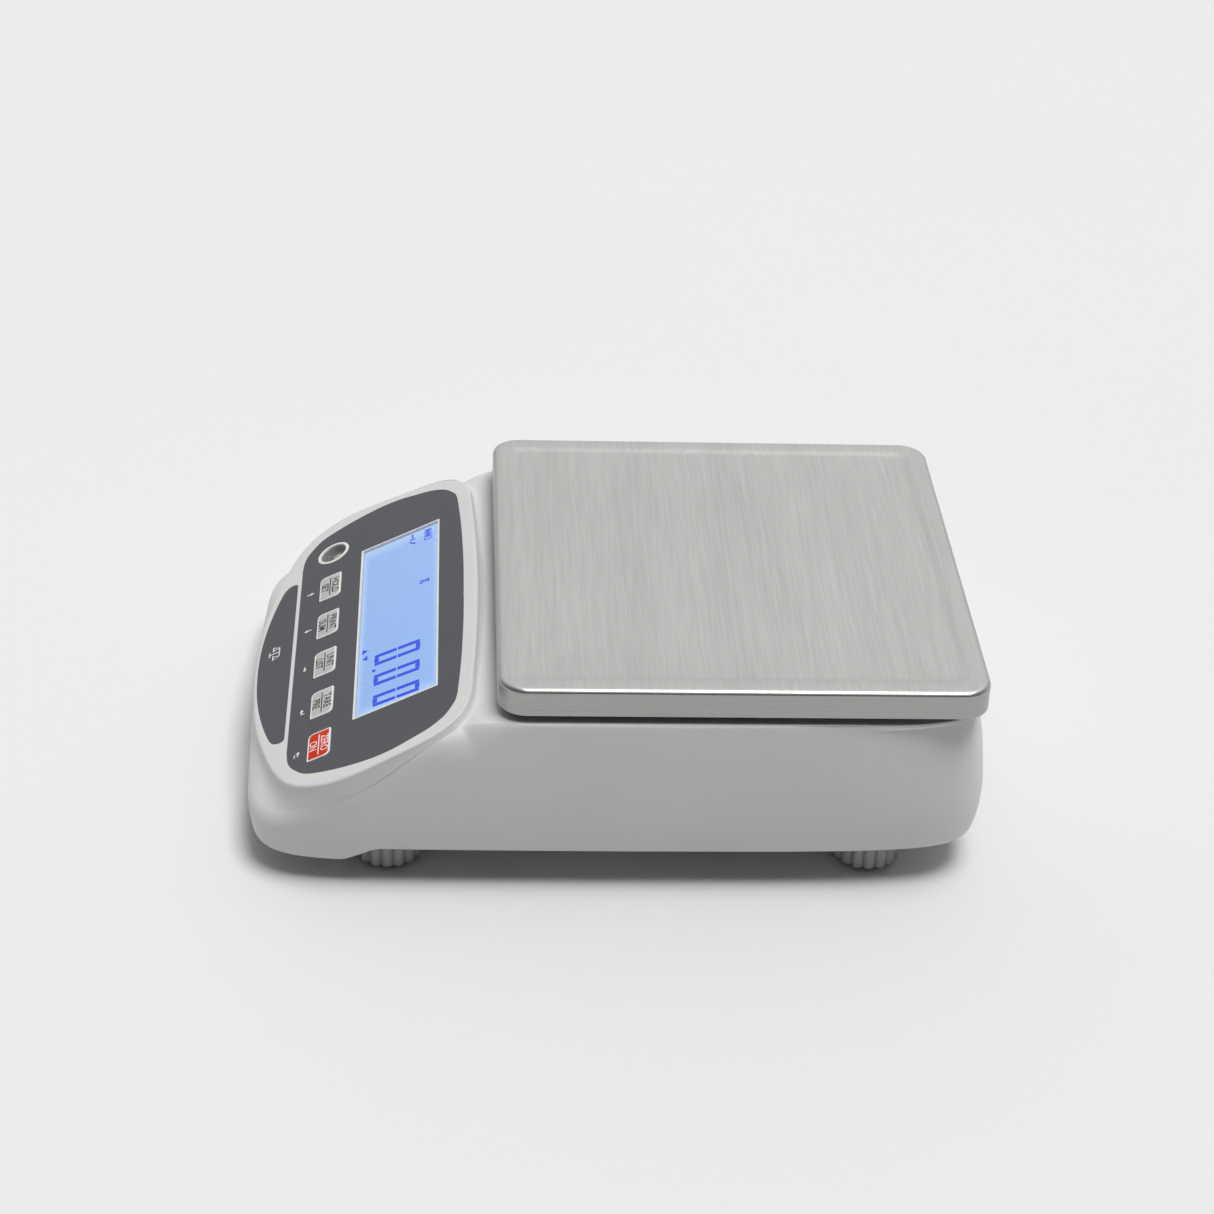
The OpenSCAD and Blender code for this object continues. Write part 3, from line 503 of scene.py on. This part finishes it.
def ray(rim, t):
    """The shell's section along a ray from the hub, at inset t: over the rim, the deck and down the wall."""
    rim_y = CONSOLE_Y + rim[1] * math.cos(TILT)
    away = np.array([rim[0] - HUB[0], rim_y - HUB[1]])
    r_rim = float(np.linalg.norm(away))
    d = away / r_rim
    outside = t == 0
    r0 = r_rim - t
    level = body_at(rim_y)
    high = console_at(HUB[1] + r0 * d[1]) - t
    rough = max(r0 + 1.4, plan_r(d, lean(level - t, HUB[1] + 200 * d[1]) + t))
    foot_y = HUB[1] + rough * d[1]
    z0 = edge_at(foot_y)

    def at(r, z):
        return (HUB[0] + r * d[0], HUB[1] + r * d[1], z)

    def wall(z):
        return plan_r(d, lean(z, foot_y) + t)

    # the rim's inner edge
    crest = RIM_CREST if outside else ()
    points = [at(r0 - back, console_at(HUB[1] + (r0 - back) * d[1]) - down) for back, down in crest]

    # the rim's outer edge and the deck, up to where its edge starts to turn
    soft = step((-36 - foot_y) / 28)
    round_r = min(1.5 + 7.5 * soft, 0.8 * (rough - r0))
    round_z = round_r + 5 * soft
    r1 = rough - round_r
    outs = [r0 + min(f, (r1 - r0) * f / 4.3) for f in (0, 0.3, 0.6, 0.9, 1.2, 1.6, 2.0, 2.5, 3.0, 3.5)]
    last = outs[-1]
    outs += [last + (r1 - last) * k for k in (0.12, 0.25, 0.42, 0.6, 0.8, 1)]
    for r in outs:
        rise = max(0.0, 1 - (r - r0) / 4) ** 2
        z = rise * high + (1 - rise) * (body_at(HUB[1] + r * d[1]) - t)
        points.append(at(r, z - (RIM_EASE if outside and r == r0 else 0)))

    # the deck's rounded edge
    z_last = points[-1][2]
    for a in (78, 66, 54, 42, 30, 18, 9):
        z = z_last - round_z * (1 - math.sin(math.radians(a)))
        points.append(at(max(r1, wall(z)) - round_r * (1 - math.cos(math.radians(a))), z))
    z1 = z_last - round_z

    # towards the front, the deck and its edge give way to a cheek that flows down from the rim
    flow = FLOW_SHARE * step((FLOW_Y - rim_y) / FLOW_L)
    if flow > 0:
        deep = min(FLOW_DEPTH, 0.6 * (high - z0))
        n = len(points) - len(crest)
        for j in range(n):
            u = j / (n - 1)
            z = high - deep * u - (RIM_EASE * (1 - u) ** 8 if outside else 0)
            cheek = at(r0 + max(wall(z) - r0, 0.2) * step((u - 0.15) / 0.85), z)
            old = points[len(crest) + j]
            points[len(crest) + j] = tuple(a * (1 - flow) + b * flow for a, b in zip(old, cheek))
        z1 = z1 * (1 - flow) + (high - deep) * flow

    # the wall, eased at its lower edge
    for w in (0.03, 0.1, 0.2, 0.3, 0.4, 0.5, 0.6, 0.7, 0.8, 0.88, 0.95, 0.985, 1):
        z = z1 + (z0 - z1) * w
        ease = 0.35 * max(0, 1 - (z - z0) / 0.8) ** 2 if outside else 0
        points.append(at(wall(z) - ease, z))
    return points


def shell():
    """The whole shell: the outer and inner skins, joined along the lower edge and closed over the hub."""
    rim = rim_loop()
    outer = [ray(p, 0) for p in rim]
    inner = [ray(p, WALL) for p in rim]
    peak = (HUB[0], HUB[1], console_at(HUB[1]))
    loops = [[s[j] for s in outer] for j in range(len(outer[0]))]
    loops += [[s[j] for s in inner] for j in range(len(inner[0]) - 1, -1, -1)]
    mesh = loft(loops, capped=False)
    n, m = len(rim), len(loops)
    points = [tuple(v.co) for v in mesh.vertices] + [peak, (peak[0], peak[1], peak[2] - WALL)]
    faces = [tuple(p.vertices) for p in mesh.polygons]
    faces += [((i + 1) % n, i, n * m) for i in range(n)]
    faces += [(n * (m - 1) + i, n * (m - 1) + (i + 1) % n, n * m + 1) for i in range(n)]
    return mesh_of(points, faces)


# ---- What the console carries, as outlines and places in its plane ----

OVERLAY_SIDE = [(0, -70.6), (60, -70.6), (70, -70.5), (77.6, -69.2), (84, -65.3), (88.4, -60.5),
                (91.8, -52), (94, -43.6), (95.6, -33), (95.3, -24), (93.7, -17), (91.1, -8), (87.3, -1.8),
                (82.4, 1.9), (77.5, 4), (66, 5.2), (47, 6.4), (22, 7.2), (0, 7.3)]
NAMEPLATE_SIDE = [(0, -88.2), (14, -87.7), (28, -86.1), (42, -83.2), (53, -80), (57.6, -77.8),
                  (59.2, -75.2), (58.9, -73.1), (57.6, -72.3)]
# Depths under the films' top face, and how thick the marks on the display and on the films are
FILM_LOW, GLASS_TOP, MARK_T, INK_T = -0.6, -1.15, 0.1, 0.03
WIN_W, WIN_H, WIN_S = 128.0, 37.5, -22.9
KEY_NAMES = ["hold", "print", "unit", "tare", "zero"]
KEY_X = [centre("key_" + name)[0] for name in KEY_NAMES]
KEY_W, KEY_H, KEY_S = 18.7, 10.6, -56.1
STEM_R = 3.1
LEVEL_X, LEVEL_S, LEVEL_R = -72.7, -55.8, 6.8


def both_sides(side):
    """A symmetrical outline from the points of its right half."""
    half = smooth_path(side, 8) + [side[-1]]
    return half + [(-x, s) for x, s in half[::-1] if x > 0.01]


def key_outline():
    """A key's opening, round at two opposite corners."""
    return rounded(KEY_W, KEY_H, [3, 0.05, 3, 0.05])


def on_console(mesh):
    """A mesh drawn flat, laid on the console's plane."""
    mesh.transform(Matrix.Translation((0, CONSOLE_Y, CONSOLE_Z)) @ Matrix.Rotation(TILT, 4, "X"))
    return mesh


def rear_opening(node_name, side_gap):
    """A cutter through the back wall, round a connector's box."""
    end_gap = 0.3
    lo, hi = box_mm(node_name)
    w, h = hi[0] - lo[0] + 2 * side_gap, hi[2] - lo[2] + 2 * end_gap
    return box(w, 16, h, (lo[0] + hi[0]) / 2, HALF_L, lo[2] - end_gap)


def housing():
    """The shell with its openings: films, window, keys and level on the console, the deck and the back."""
    film = joined([prism(both_sides(side), FILM_LOW, 5) for side in (OVERLAY_SIDE, NAMEPLATE_SIDE)])
    holes = [moved(box(WIN_W, WIN_H, 5, z=-4), y=WIN_S)]
    holes += [moved(prism(key_outline(), -1.6, 2), x, KEY_S) for x in KEY_X]
    holes.append(moved(lathe([(LEVEL_R, -4), (LEVEL_R, 2)]), LEVEL_X, LEVEL_S))
    stems = [moved(lathe([(STEM_R, -4), (STEM_R, -1)], 24), x, KEY_S) for x in KEY_X]
    deck = moved(prism(rounded(42, 46, 3), 71, 79), *centre("upper_spacer")[:2])
    rear = [rear_opening("serial_port", 0.9), rear_opening("dc_jack", 0.3)]
    return carve(shell(), on_console(film), joined([on_console(joined(holes)), deck] + rear),
                 on_console(joined(stems)))


piece("housing_shell", housing(), WHITE, "housing", "upper_housing", sharp=28)


# ---- Console ----

def console_piece(name, mesh, material, body="housing", node_name=None, slot=None, sharp=35):
    """A piece drawn flat in the console's plane."""
    return piece(name, mesh, material, body, node_name, CONSOLE, sharp)


def frame_ring(w, l, r, width, z0, z1):
    """A rectangular frame, w by l outside."""
    outer, inner = rounded(w, l, r), rounded(w - 2 * width, l - 2 * width, max(r - width, 0.02))
    return loft([at_z(outer, z0), at_z(outer, z1), at_z(inner, z1), at_z(inner, z0)], ring=True)


def screen_plate(gap, z0, z1, edge):
    """A plate that fills the window but for a gap round it."""
    return eased(WIN_W - gap, WIN_H - gap, 0.3, z0, z1, edge)


cuts = [moved(box(WIN_W, WIN_H, 4, z=-2), y=WIN_S)]
cuts += [moved(prism(key_outline(), -2, 2), x, KEY_S) for x in KEY_X]
cuts.append(moved(lathe([(7.6, -2), (7.6, 2)], 64), LEVEL_X, LEVEL_S))
console_piece("console_film_sheet", carve(prism(both_sides(OVERLAY_SIDE), FILM_LOW, 0.0), joined(cuts)), FILM,
              node_name="console_overlay", slot="console_film")
console_piece("nameplate_film", prism(both_sides(NAMEPLATE_SIDE), FILM_LOW, 0.0), FILM,
              node_name="nameplate", slot="plate_film")

border = frame_ring(WIN_W - 0.02, WIN_H - 0.02, 0.3, 0.75, -0.95, 0.06)
console_piece("window_border", moved(border, y=WIN_S), INK_WHITE, slot="level_white")
# the panel keeps its own middle as its origin, which its material measures from
panel = console_piece("screen_panel", screen_plate(1.6, -3.0, GLASS_TOP, 0.1), SCREEN,
                      node_name="lcd_glass", slot="lcd")
panel.matrix_world = CONSOLE @ Matrix.Translation((0, WIN_S * MM, 0))
console_piece("window_lens", moved(screen_plate(1.56, -0.85, -0.12, 0.08), y=WIN_S), CLEAR,
              node_name="display_lens", slot="lens")


def mark(outline):
    """A flat mark on the display."""
    return prism(outline, GLASS_TOP, GLASS_TOP + MARK_T)


def ink(outline):
    """A flat mark printed on the film."""
    return prism(outline, 0, INK_T)


def stroke(a, b, w):
    """The outline of a straight stroke from a to b, w wide."""
    a, b = Vector(a), Vector(b)
    u = (b - a).normalized()
    v = Vector((-u.y, u.x)) * w / 2
    return [(p.x, p.y) for p in (a - v, b - v, b + v, a + v)]


def zero(x, s):
    """A seven-segment 0 with its lower left corner at x, s."""
    w, h, t, slant, gap = 7.6, 20.8, 2.0, 1.25, 0.3

    def place(u, v):
        return (x + u + slant * v / h, s + v)

    m = t / 2
    flat = [mark(stroke(place(t + gap, v), place(w - t - gap, v), t)) for v in (m, h - m)]
    tall = [mark(stroke(place(u, v0), place(u, v1), t)) for u in (m, w - m)
            for v0, v1 in ((0.2, h / 2 - gap), (h / 2 + gap, h - 0.2))]
    return flat + tall


def words(text, size, x, s, z, thick=INK_T, bold=0.0, widen=1.0):
    """Lettering as a flat mesh centred on x, s in the console's plane."""
    curve = bpy.data.curves.new("letters", "FONT")
    curve.body = text
    curve.size = 1.0
    curve.align_x, curve.align_y = "CENTER", "CENTER"
    curve.extrude = thick / 2 / size
    curve.offset = bold / size
    curve.resolution_u = 4
    o = bpy.data.objects.new("letters", curve)
    bpy.context.scene.collection.objects.link(o)
    mesh = bpy.data.meshes.new_from_object(o.evaluated_get(bpy.context.evaluated_depsgraph_get()))
    bpy.data.objects.remove(o)
    mesh.transform(Matrix.Translation((x, s, z + thick / 2)) @ Matrix.Diagonal((size * widen, size, size, 1)))
    edit = bmesh.new()
    edit.from_mesh(mesh)
    bmesh.ops.remove_doubles(edit, verts=edit.verts, dist=1e-5)
    edit.to_mesh(mesh)
    edit.free()
    return mesh


def display_marks():
    """The reading 0.00, two pointers, a unit, a battery sign and a stable sign."""
    marks = []
    for x in (22.0, 36.6, 51.2):
        marks += zero(x, -33.6)
    marks.append(mark([(32.0, -34.4), (33.7, -34.4), (33.9, -32.9), (32.2, -32.9)]))
    marks.append(mark([(14.2, -39.3), (17.6, -39.3), (15.9, -36.9)]))
    marks.append(mark([(19.6, -36.9), (21.3, -39.3), (23.0, -36.9)]))
    marks.append(words("g", 6.6, -20.2, -10.2, GLASS_TOP, MARK_T))
    marks.append(moved(frame_ring(8.4, 3.2, 0.3, 0.35, GLASS_TOP, GLASS_TOP + MARK_T), -57.3, -10.2))
    marks += [moved(box(1.5, 1.7, MARK_T, z=GLASS_TOP), -60.0 + 2.0 * k, -10.2) for k in range(3)]
    for a, b in (((-62.0, -17.6), (-59.0, -17.6)), ((-58.0, -19.0), (-58.0, -16.2)),
                 ((-56.6, -19.0), (-53.8, -16.2))):
        marks.append(mark(stroke(a, b, 0.7)))
    return joined(marks)


console_piece("screen_marks", display_marks(), SEGMENT, slot="lcd")

# Each key is a white cap with a coloured field and two generic words over and under a line
KEY_WORDS = [("HOLD", "SET"), ("PRINT", "SUM"), ("UNIT", "LIST"), ("TARE", "PRE"), ("ZERO", "ON")]
TEXT_SIZE, TEXT_WIDTH, TEXT_Z = 4.7, 0.88, 0.28
for name, x, (upper, lower) in zip(KEY_NAMES, KEY_X, KEY_WORDS):
    red = name == "zero"
    key, slot = "key_" + name, "key_red" if red else "key_grey"
    bold = 0.03 if red else 0.08
    cap = joined([moved(eased(KEY_W - 0.6, KEY_H - 0.6, [2.7, 0.35, 2.7, 0.35], -0.75, 0.25, 0.15), x, KEY_S),
                  moved(lathe([(2.7, -6.0), (2.7, -0.8)], 32), x, KEY_S)])
    console_piece("cap_" + name, cap, INK_WHITE, key, key, slot)
    field = eased(KEY_W - 2.0, KEY_H - 2.0, [2.2, 0.2, 2.2, 0.2], 0.2, 0.29, 0.03)
    console_piece("field_" + name, moved(field, x, KEY_S), KEY_RED if red else KEY_GREY, key, slot=slot)
    print_on_key = joined([words(upper, TEXT_SIZE, x, KEY_S + 2.4, TEXT_Z, INK_T, bold, TEXT_WIDTH),
                           words(lower, TEXT_SIZE, x, KEY_S - 2.6, TEXT_Z, INK_T, bold, TEXT_WIDTH),
                           moved(box(13.5, 0.5, INK_T, z=TEXT_Z), x, KEY_S)])
    console_piece("ink_" + name, print_on_key, INK_WHITE if red else INK_BLACK, key, slot=slot)


def arrow(x, s, turn, size=1.0):
    """A small arrow that points up, then is turned."""
    shaft = prism([(-0.3, -1.6), (0.3, -1.6), (0.3, 0.2), (-0.3, 0.2)], -0.01, INK_T)
    head = prism([(-0.95, 0.1), (0.95, 0.1), (0, 1.6)], -0.01, INK_T)
    mesh = joined([shaft, head])
    mesh.transform(Matrix.Scale(size, 4))
    return moved(mesh, x, s, 0, turn)


def balance():
    """A beam balance: its column, beam and foot, and a pan hung from each end of the beam."""
    parts = [ink(stroke((0, -2.6), (0, 2.4), 0.55)), ink(stroke((-3.2, 2.0), (3.2, 2.0), 0.5)),
             ink(stroke((-1.7, -2.6), (1.7, -2.6), 0.6))]
    for side in (-1, 1):
        parts += [ink(stroke((side * 3.2, 2.0), (side * 4.5, -0.9), 0.35)),
                  ink(stroke((side * 3.2, 2.0), (side * 1.9, -0.9), 0.35)),
                  ink(stroke((side * 4.9, -0.9), (side * 1.5, -0.9), 0.6))]
    return joined(parts)


icons = [arrow(KEY_X[0] - 0.3, -65.6, 0, 1.1), arrow(KEY_X[1] - 0.6, -65.6, 180, 1.1),
         arrow(KEY_X[2] - 0.8, -65.5, -90), arrow(KEY_X[3] + 1.0, -65.3, 90),
         arrow(KEY_X[4] + 0.8, -65.4, 90),
         moved(box(0.5, 1.7, INK_T), KEY_X[3] + 2.7, -64.8),
         moved(box(2.2, 0.5, INK_T), KEY_X[4] + 1.6, -66.9),
         moved(balance(), -9.8, -80.6)]
console_piece("console_icons", joined(icons), INK_WHITE, slot="console_film")


# Spirit level: a white collar, a dark well, the liquid with its target and bubble, and a clear window
def level_piece(name, profile, n, material, ring=False, dx=0.0, ds=0.0, **labels):
    """A turned piece of the level; its profile is a list of radius and height."""
    mesh = loft([at_z(circle(r, n), z) for r, z in profile], ring=ring)
    console_piece(name, moved(mesh, LEVEL_X + dx, LEVEL_S + ds), material, **labels)


level_piece("level_collar", [(6.1, -0.6), (6.1, 0.1), (6.25, 0.28), (6.6, 0.32), (7.1, 0.3), (7.45, 0.16),
                             (7.55, -0.1), (7.55, -0.6)], 64, INK_WHITE, ring=True,
            node_name="level_ring", slot="level_white")
level_piece("level_well", [(6.75, -9), (6.75, -0.7), (6.0, -0.7), (5.65, -2.2), (5.6, -7.4), (0.01, -7.5)],
            64, LEVEL, node_name="level_cup", slot="level_white")
level_piece("level_liquid", [(0.01, -7.4), (5.55, -7.4), (5.55, -2.75), (5.2, -2.9), (0.01, -2.9)],
            48, LIQUID, node_name="level_fluid", slot="level_liquid")
level_piece("level_target", [(3.1, -2.9), (3.1, -2.84), (3.5, -2.84), (3.5, -2.9)], 48, INK_BLACK, ring=True,
            slot="level_liquid")
level_piece("level_bubble", [(0.01, -2.92), (2.1, -2.9), (2.3, -2.75), (2.1, -2.5), (1.3, -2.32),
                             (0.01, -2.26)], 40, BUBBLE, dx=-0.4, ds=0.9, slot="level_liquid")
level_piece("level_window", [(0.01, -0.5), (5.7, -0.5), (5.9, -0.3), (5.9, 0.0), (5.6, 0.12), (3, 0.28),
                             (0.01, 0.34)], 64, CLEAR, node_name="level_lens", slot="lens")


# ---- Platter ----

def platter():
    """The pressed tray: up the skirt, over the fold, down into the field, and back along the underside."""
    lo, hi = box_mm("platter")
    w, l, low, top = hi[0] - lo[0], hi[1] - lo[1], lo[2], hi[2]
    r, skirt_in, fold, inner_in = 11.5, 0.12, 1.9, 1.12
    mid_y = centre("platter")[1]

    def loop(inset, z, radius=None):
        outline = rounded(w - 2 * inset, l - 2 * inset, radius if radius else r - inset, 14)
        return at_z([(x, y + mid_y) for x, y in outline], z)

    over = [loop(0.15, low), loop(0.0, low + 0.15), loop(0, low + 1.0), loop(skirt_in, low + 1.5),
            loop(skirt_in, top - 2.2)]
    over += [loop(skirt_in + fold * (1 - math.cos(a)), top - fold * (1 - math.sin(a)))
             for a in (0.2, 0.5, 0.8, 1.1, 1.35)]
    over += [loop(2.4, top), loop(3.4, top - 0.02), loop(7.2, top - 0.04, 5.2), loop(8.3, top - 0.15, 4.8),
             loop(9.5, top - 0.34, 4.2), loop(10.7, top - 0.52, 3.7), loop(11.8, top - 0.6, 3.3),
             loop(40, top - 0.6, 2)]
    under = [loop(40, top - 1.6, 2), loop(10.9, top - 1.6, 3), loop(9.2, top - 1.2, 4),
             loop(2.6, top - 1.05, 9)]
    under += [loop(inner_in + 1.0 - math.cos(a), top - 1.05 - (1 - math.sin(a)), r - inner_in)
              for a in (1.1, 0.5, 0.1)]
    under += [loop(inner_in, low + 1.5), loop(1.0, low + 0.15), loop(0.85, low)]

    # a ring of quads, but for the span between the middles of the two faces, which are closed instead
    n, turn = len(over[0]), len(over)
    mesh = loft(over + under, ring=True)
    points = [tuple(v.co) for v in mesh.vertices]
    faces = [tuple(p.vertices) for p in mesh.polygons if {v // n for v in p.vertices} != {turn - 1, turn}]
    faces.append(tuple(range((turn - 1) * n, turn * n)))
    faces.append(tuple(range(turn * n, (turn + 1) * n))[::-1])
    return mesh_of(points, faces)


def brush(tray):
    """Give the skirt a darker copy of the steel, which is painted shade on the side faces, and lay the grain
    along x on the top and along each side of the skirt.
    """
    grain = tray.data.uv_layers.new(name="grain")
    tray.data.materials.append(SHADED_SKIRT_STEEL)
    for face in tray.data.polygons:
        side = abs(face.normal.z) < 0.6
        face.material_index = int(side)
        along_y = side and abs(face.normal.x) > abs(face.normal.y)
        for k in face.loop_indices:
            co = tray.data.vertices[tray.data.loops[k].vertex_index].co
            across = co.z if side else co.y
            grain.data[k].uv = ((co.y if along_y else co.x) * 5, across * 5)


brush(piece("platter_tray", platter(), STEEL, "platter", "platter", sharp=40))


# ---- Feet ----

def knob():
    """A knurled knob: sixteen soft lobes round its side, a groove in its top and a bore for the stud."""
    n = 160
    low, high = 1.8, 12.5
    lobes = []
    for i in range(n):
        a = 2 * math.pi * i / n
        lobes.append((a, 12.3 + 1.6 * abs(math.cos(8 * a)) ** 0.7))

    def side(out, z):
        return [(math.cos(a) * (r + out), math.sin(a) * (r + out), z) for a, r in lobes]

    loops = [at_z(circle(r, n), low) for r in (4.07, 10.2)]
    loops += [side(out, z) for out, z in ((-1.2, 1.9), (-0.45, 2.2), (-0.1, 2.7), (0, 3.3), (0, 11.2),
                                          (-0.15, 11.8), (-0.6, 12.3), (-1.3, high))]
    loops += [at_z(circle(r, n), z) for r, z in ((9.6, high), (9.0, 12.0), (5.8, 12.0), (5.4, high),
                                                 (4.02, high), (4.02, 9.5), (4.07, 7.2))]
    return loft(loops, ring=True)


def stud():
    """An M8 x 1.25 stud: a rod whose outline steps up one pitch a turn."""
    n, rows_a_turn, pitch = 24, 4, 1.25
    low, high = 9.5, 34.0
    core, crest = 3.35, 3.97
    turns = int((high - low) / pitch) + 1
    rows = [at_z(circle(core, n), low - 0.01)]
    for j in range(turns * rows_a_turn + 1):
        row = []
        for i in range(n):
            a = 2 * math.pi * i / n
            z = min(high, max(low, low + pitch * (j / rows_a_turn + i / n - 1)))
            r = crest if j % rows_a_turn in (1, 2) and z not in (low, high) else core
            row.append((r * math.cos(a), r * math.sin(a), z))
        rows.append(row)
    return loft(rows + [at_z(circle(core, n), high + 0.01)])


def sole():
    """A rubber disc with an eased edge, and its peg up into the knob."""
    return lathe([(8.2, 0.3), (8.6, 0.0), (10.1, 0.0), (10.48, 0.35), (10.48, 1.2), (10.2, 1.5), (4.0, 1.5),
                  (3.95, 6.45), (0.01, 6.5)], 64)


for corner in ("front_left", "front_right", "rear_left", "rear_right"):
    body, disc = "foot_knob_" + corner, "foot_sole_" + corner
    x, y = centre(body)[:2]
    piece("knob_" + corner, moved(knob(), x, y), KNOB_SHADED, body, body)
    piece("stud_" + corner, moved(stud(), x, y), SCREW, body, "foot_stud_" + corner, sharp=50)
    piece("sole_" + corner, moved(sole(), x, y), SOLE, disc, disc)


# ---- Connectors and rating plate ----

PORT_X, PORT_Y, PORT_Z = centre("serial_port")[0], 143.4, 34.9
PIN_PITCH, PIN_ROW, NUT_X = 2.77, 1.42, 12.4


def facing_back(mesh, x, y, z):
    """A mesh drawn up along z, turned to point out of the back."""
    mesh.transform(Matrix.Translation((x, y, z)) @ Matrix.Rotation(math.radians(-90), 4, "X"))
    return mesh


def port_pins():
    """Five pins over four."""
    pins = []
    for row, count in ((PIN_ROW, 5), (-PIN_ROW, 4)):
        for k in range(count):
            pin = lathe([(0.01, 0), (0.5, 0), (0.5, 3.0), (0.25, 3.5), (0.01, 3.5)], 16)
            pins.append(facing_back(pin, PORT_X + (k - (count - 1) / 2) * PIN_PITCH, PORT_Y, PORT_Z + row))
    return joined(pins)


def port_nuts():
    """A hexagonal nut with a bore at each end of the port."""
    return joined([facing_back(carve(prism(circle(2.7, 6), 0, 3), lathe([(1.4, 1), (1.4, 4)], 24)),
                               PORT_X + side * NUT_X, 142, PORT_Z) for side in (-1, 1)])


insulator = box(14.6, 0.5, 5.8, PORT_X, PORT_Y + 0.25, PORT_Z - 2.9)
piece("port_pins", port_pins(), GOLD, "housing")
piece("port_insulator", insulator, BLACK, "housing")
piece("port_nuts", port_nuts(), SCREW, "housing")

# A blank foil plate with ruled lines on the underside
PLATE_X, PLATE_Y, PLATE_W, PLATE_L, PLATE_LOW = 54.0, 44.0, 54.0, 58.0, 16.68
foil = prism(rounded(PLATE_W, PLATE_L, 2), PLATE_LOW, PLATE_LOW + 0.12)
rules = [frame_ring(PLATE_W - 4, PLATE_L - 4, 1.2, 0.35, 16.65, 16.7)]
rules += [moved(box(44, 0.3, 0.05, z=16.65), 0, v) for v in (-18, -10, -2, 6, 14)]
piece("rating_plate", moved(foil, PLATE_X, PLATE_Y), FOIL, "housing")
piece("rating_rules", moved(joined(rules), PLATE_X, PLATE_Y), INK_BLACK, "housing")


# ---- CAD nodes that keep their shape ----

dress(WHITE, "housing_posts")
dress(BASE, "base", "battery_door")
dress(FILM, "calibration_cover")
dress(INK_WHITE, "lcd_backlight")
dress(IVORY, "lcd_holder")
dress(CHIP, "key_switches", "display_chips", "main_chips")
dress(BOARD, "display_board", "main_board")
dress(RUBBER, "platter_pads")
dress(CAST, "platform")
dress(ALLOY, "upper_spacer", "lower_spacer", "load_cell")
dress(SCREW, "platform_screws", "cell_screws", "stop_screw", "stop_nut", "board_screws", "housing_screws")
dress(SEALANT, "gauge_covers")
dress(JACKET, "cell_cable")
dress(RIBBON, "ribbon_cable")
dress(CASE, "battery")
dress(RED_WIRE, "battery_lead_red")
dress(BLACK, "battery_lead_black", "dc_jack")
dress(TIN, "adc_shield", "serial_port")
dress(BRASS, "foot_inserts")


# ---- Stage ----

def flat_square(half, z):
    """A square in the xy plane, in millimetres."""
    return mesh_of([(-half, -half, z), (half, -half, z), (half, half, z), (-half, half, z)], [(0, 1, 2, 3)])


floor = add_object("floor", flat_square(9000, -0.05),
                   surface("floor_paper", (0.72, 0.72, 0.72), 0.004, 2, (0.85, 0.9), 5, (300, 0.02, 0.00005)))


def studio(bright_side, darkest, brightest):
    """A plain surround that brightens smoothly towards one side."""
    world = bpy.data.worlds.new("studio")
    bpy.context.scene.world = world
    world.use_nodes = True
    tree = world.node_tree
    direction = node(tree, "TexCoord").outputs["Generated"]
    toward = node(tree, "VectorMath", operation="DOT_PRODUCT")
    toward.inputs[1].default_value = Vector(bright_side).normalized()
    tree.links.new(direction, toward.inputs[0])
    glow = node(tree, "MapRange", interpolation_type="SMOOTHSTEP")
    glow.inputs["From Min"].default_value = -0.1
    glow.inputs["From Max"].default_value = 1.0
    glow.inputs["To Min"].default_value = darkest
    glow.inputs["To Max"].default_value = brightest
    tree.links.new(toward.outputs["Value"], glow.inputs["Value"])
    tree.links.new(glow.outputs["Result"], tree.nodes["Background"].inputs["Strength"])
    tree.nodes["Background"].inputs["Color"].default_value = (1, 1, 1, 1)


def key_light(place, energy, width):
    """A wide, soft sun that shines from place towards the origin."""
    sun = bpy.data.objects.new("key", bpy.data.lights.new("key", "SUN"))
    bpy.context.scene.collection.objects.link(sun)
    sun.data.energy = energy
    sun.data.angle = width
    sun.location = place
    sun.rotation_euler = (-Vector(place)).to_track_quat("-Z", "Y").to_euler()


studio((-0.78, 0.15, 0.60), 0.10, 0.74)
key_light((0.25, 0.6, 3.0), 2.4, math.radians(28))
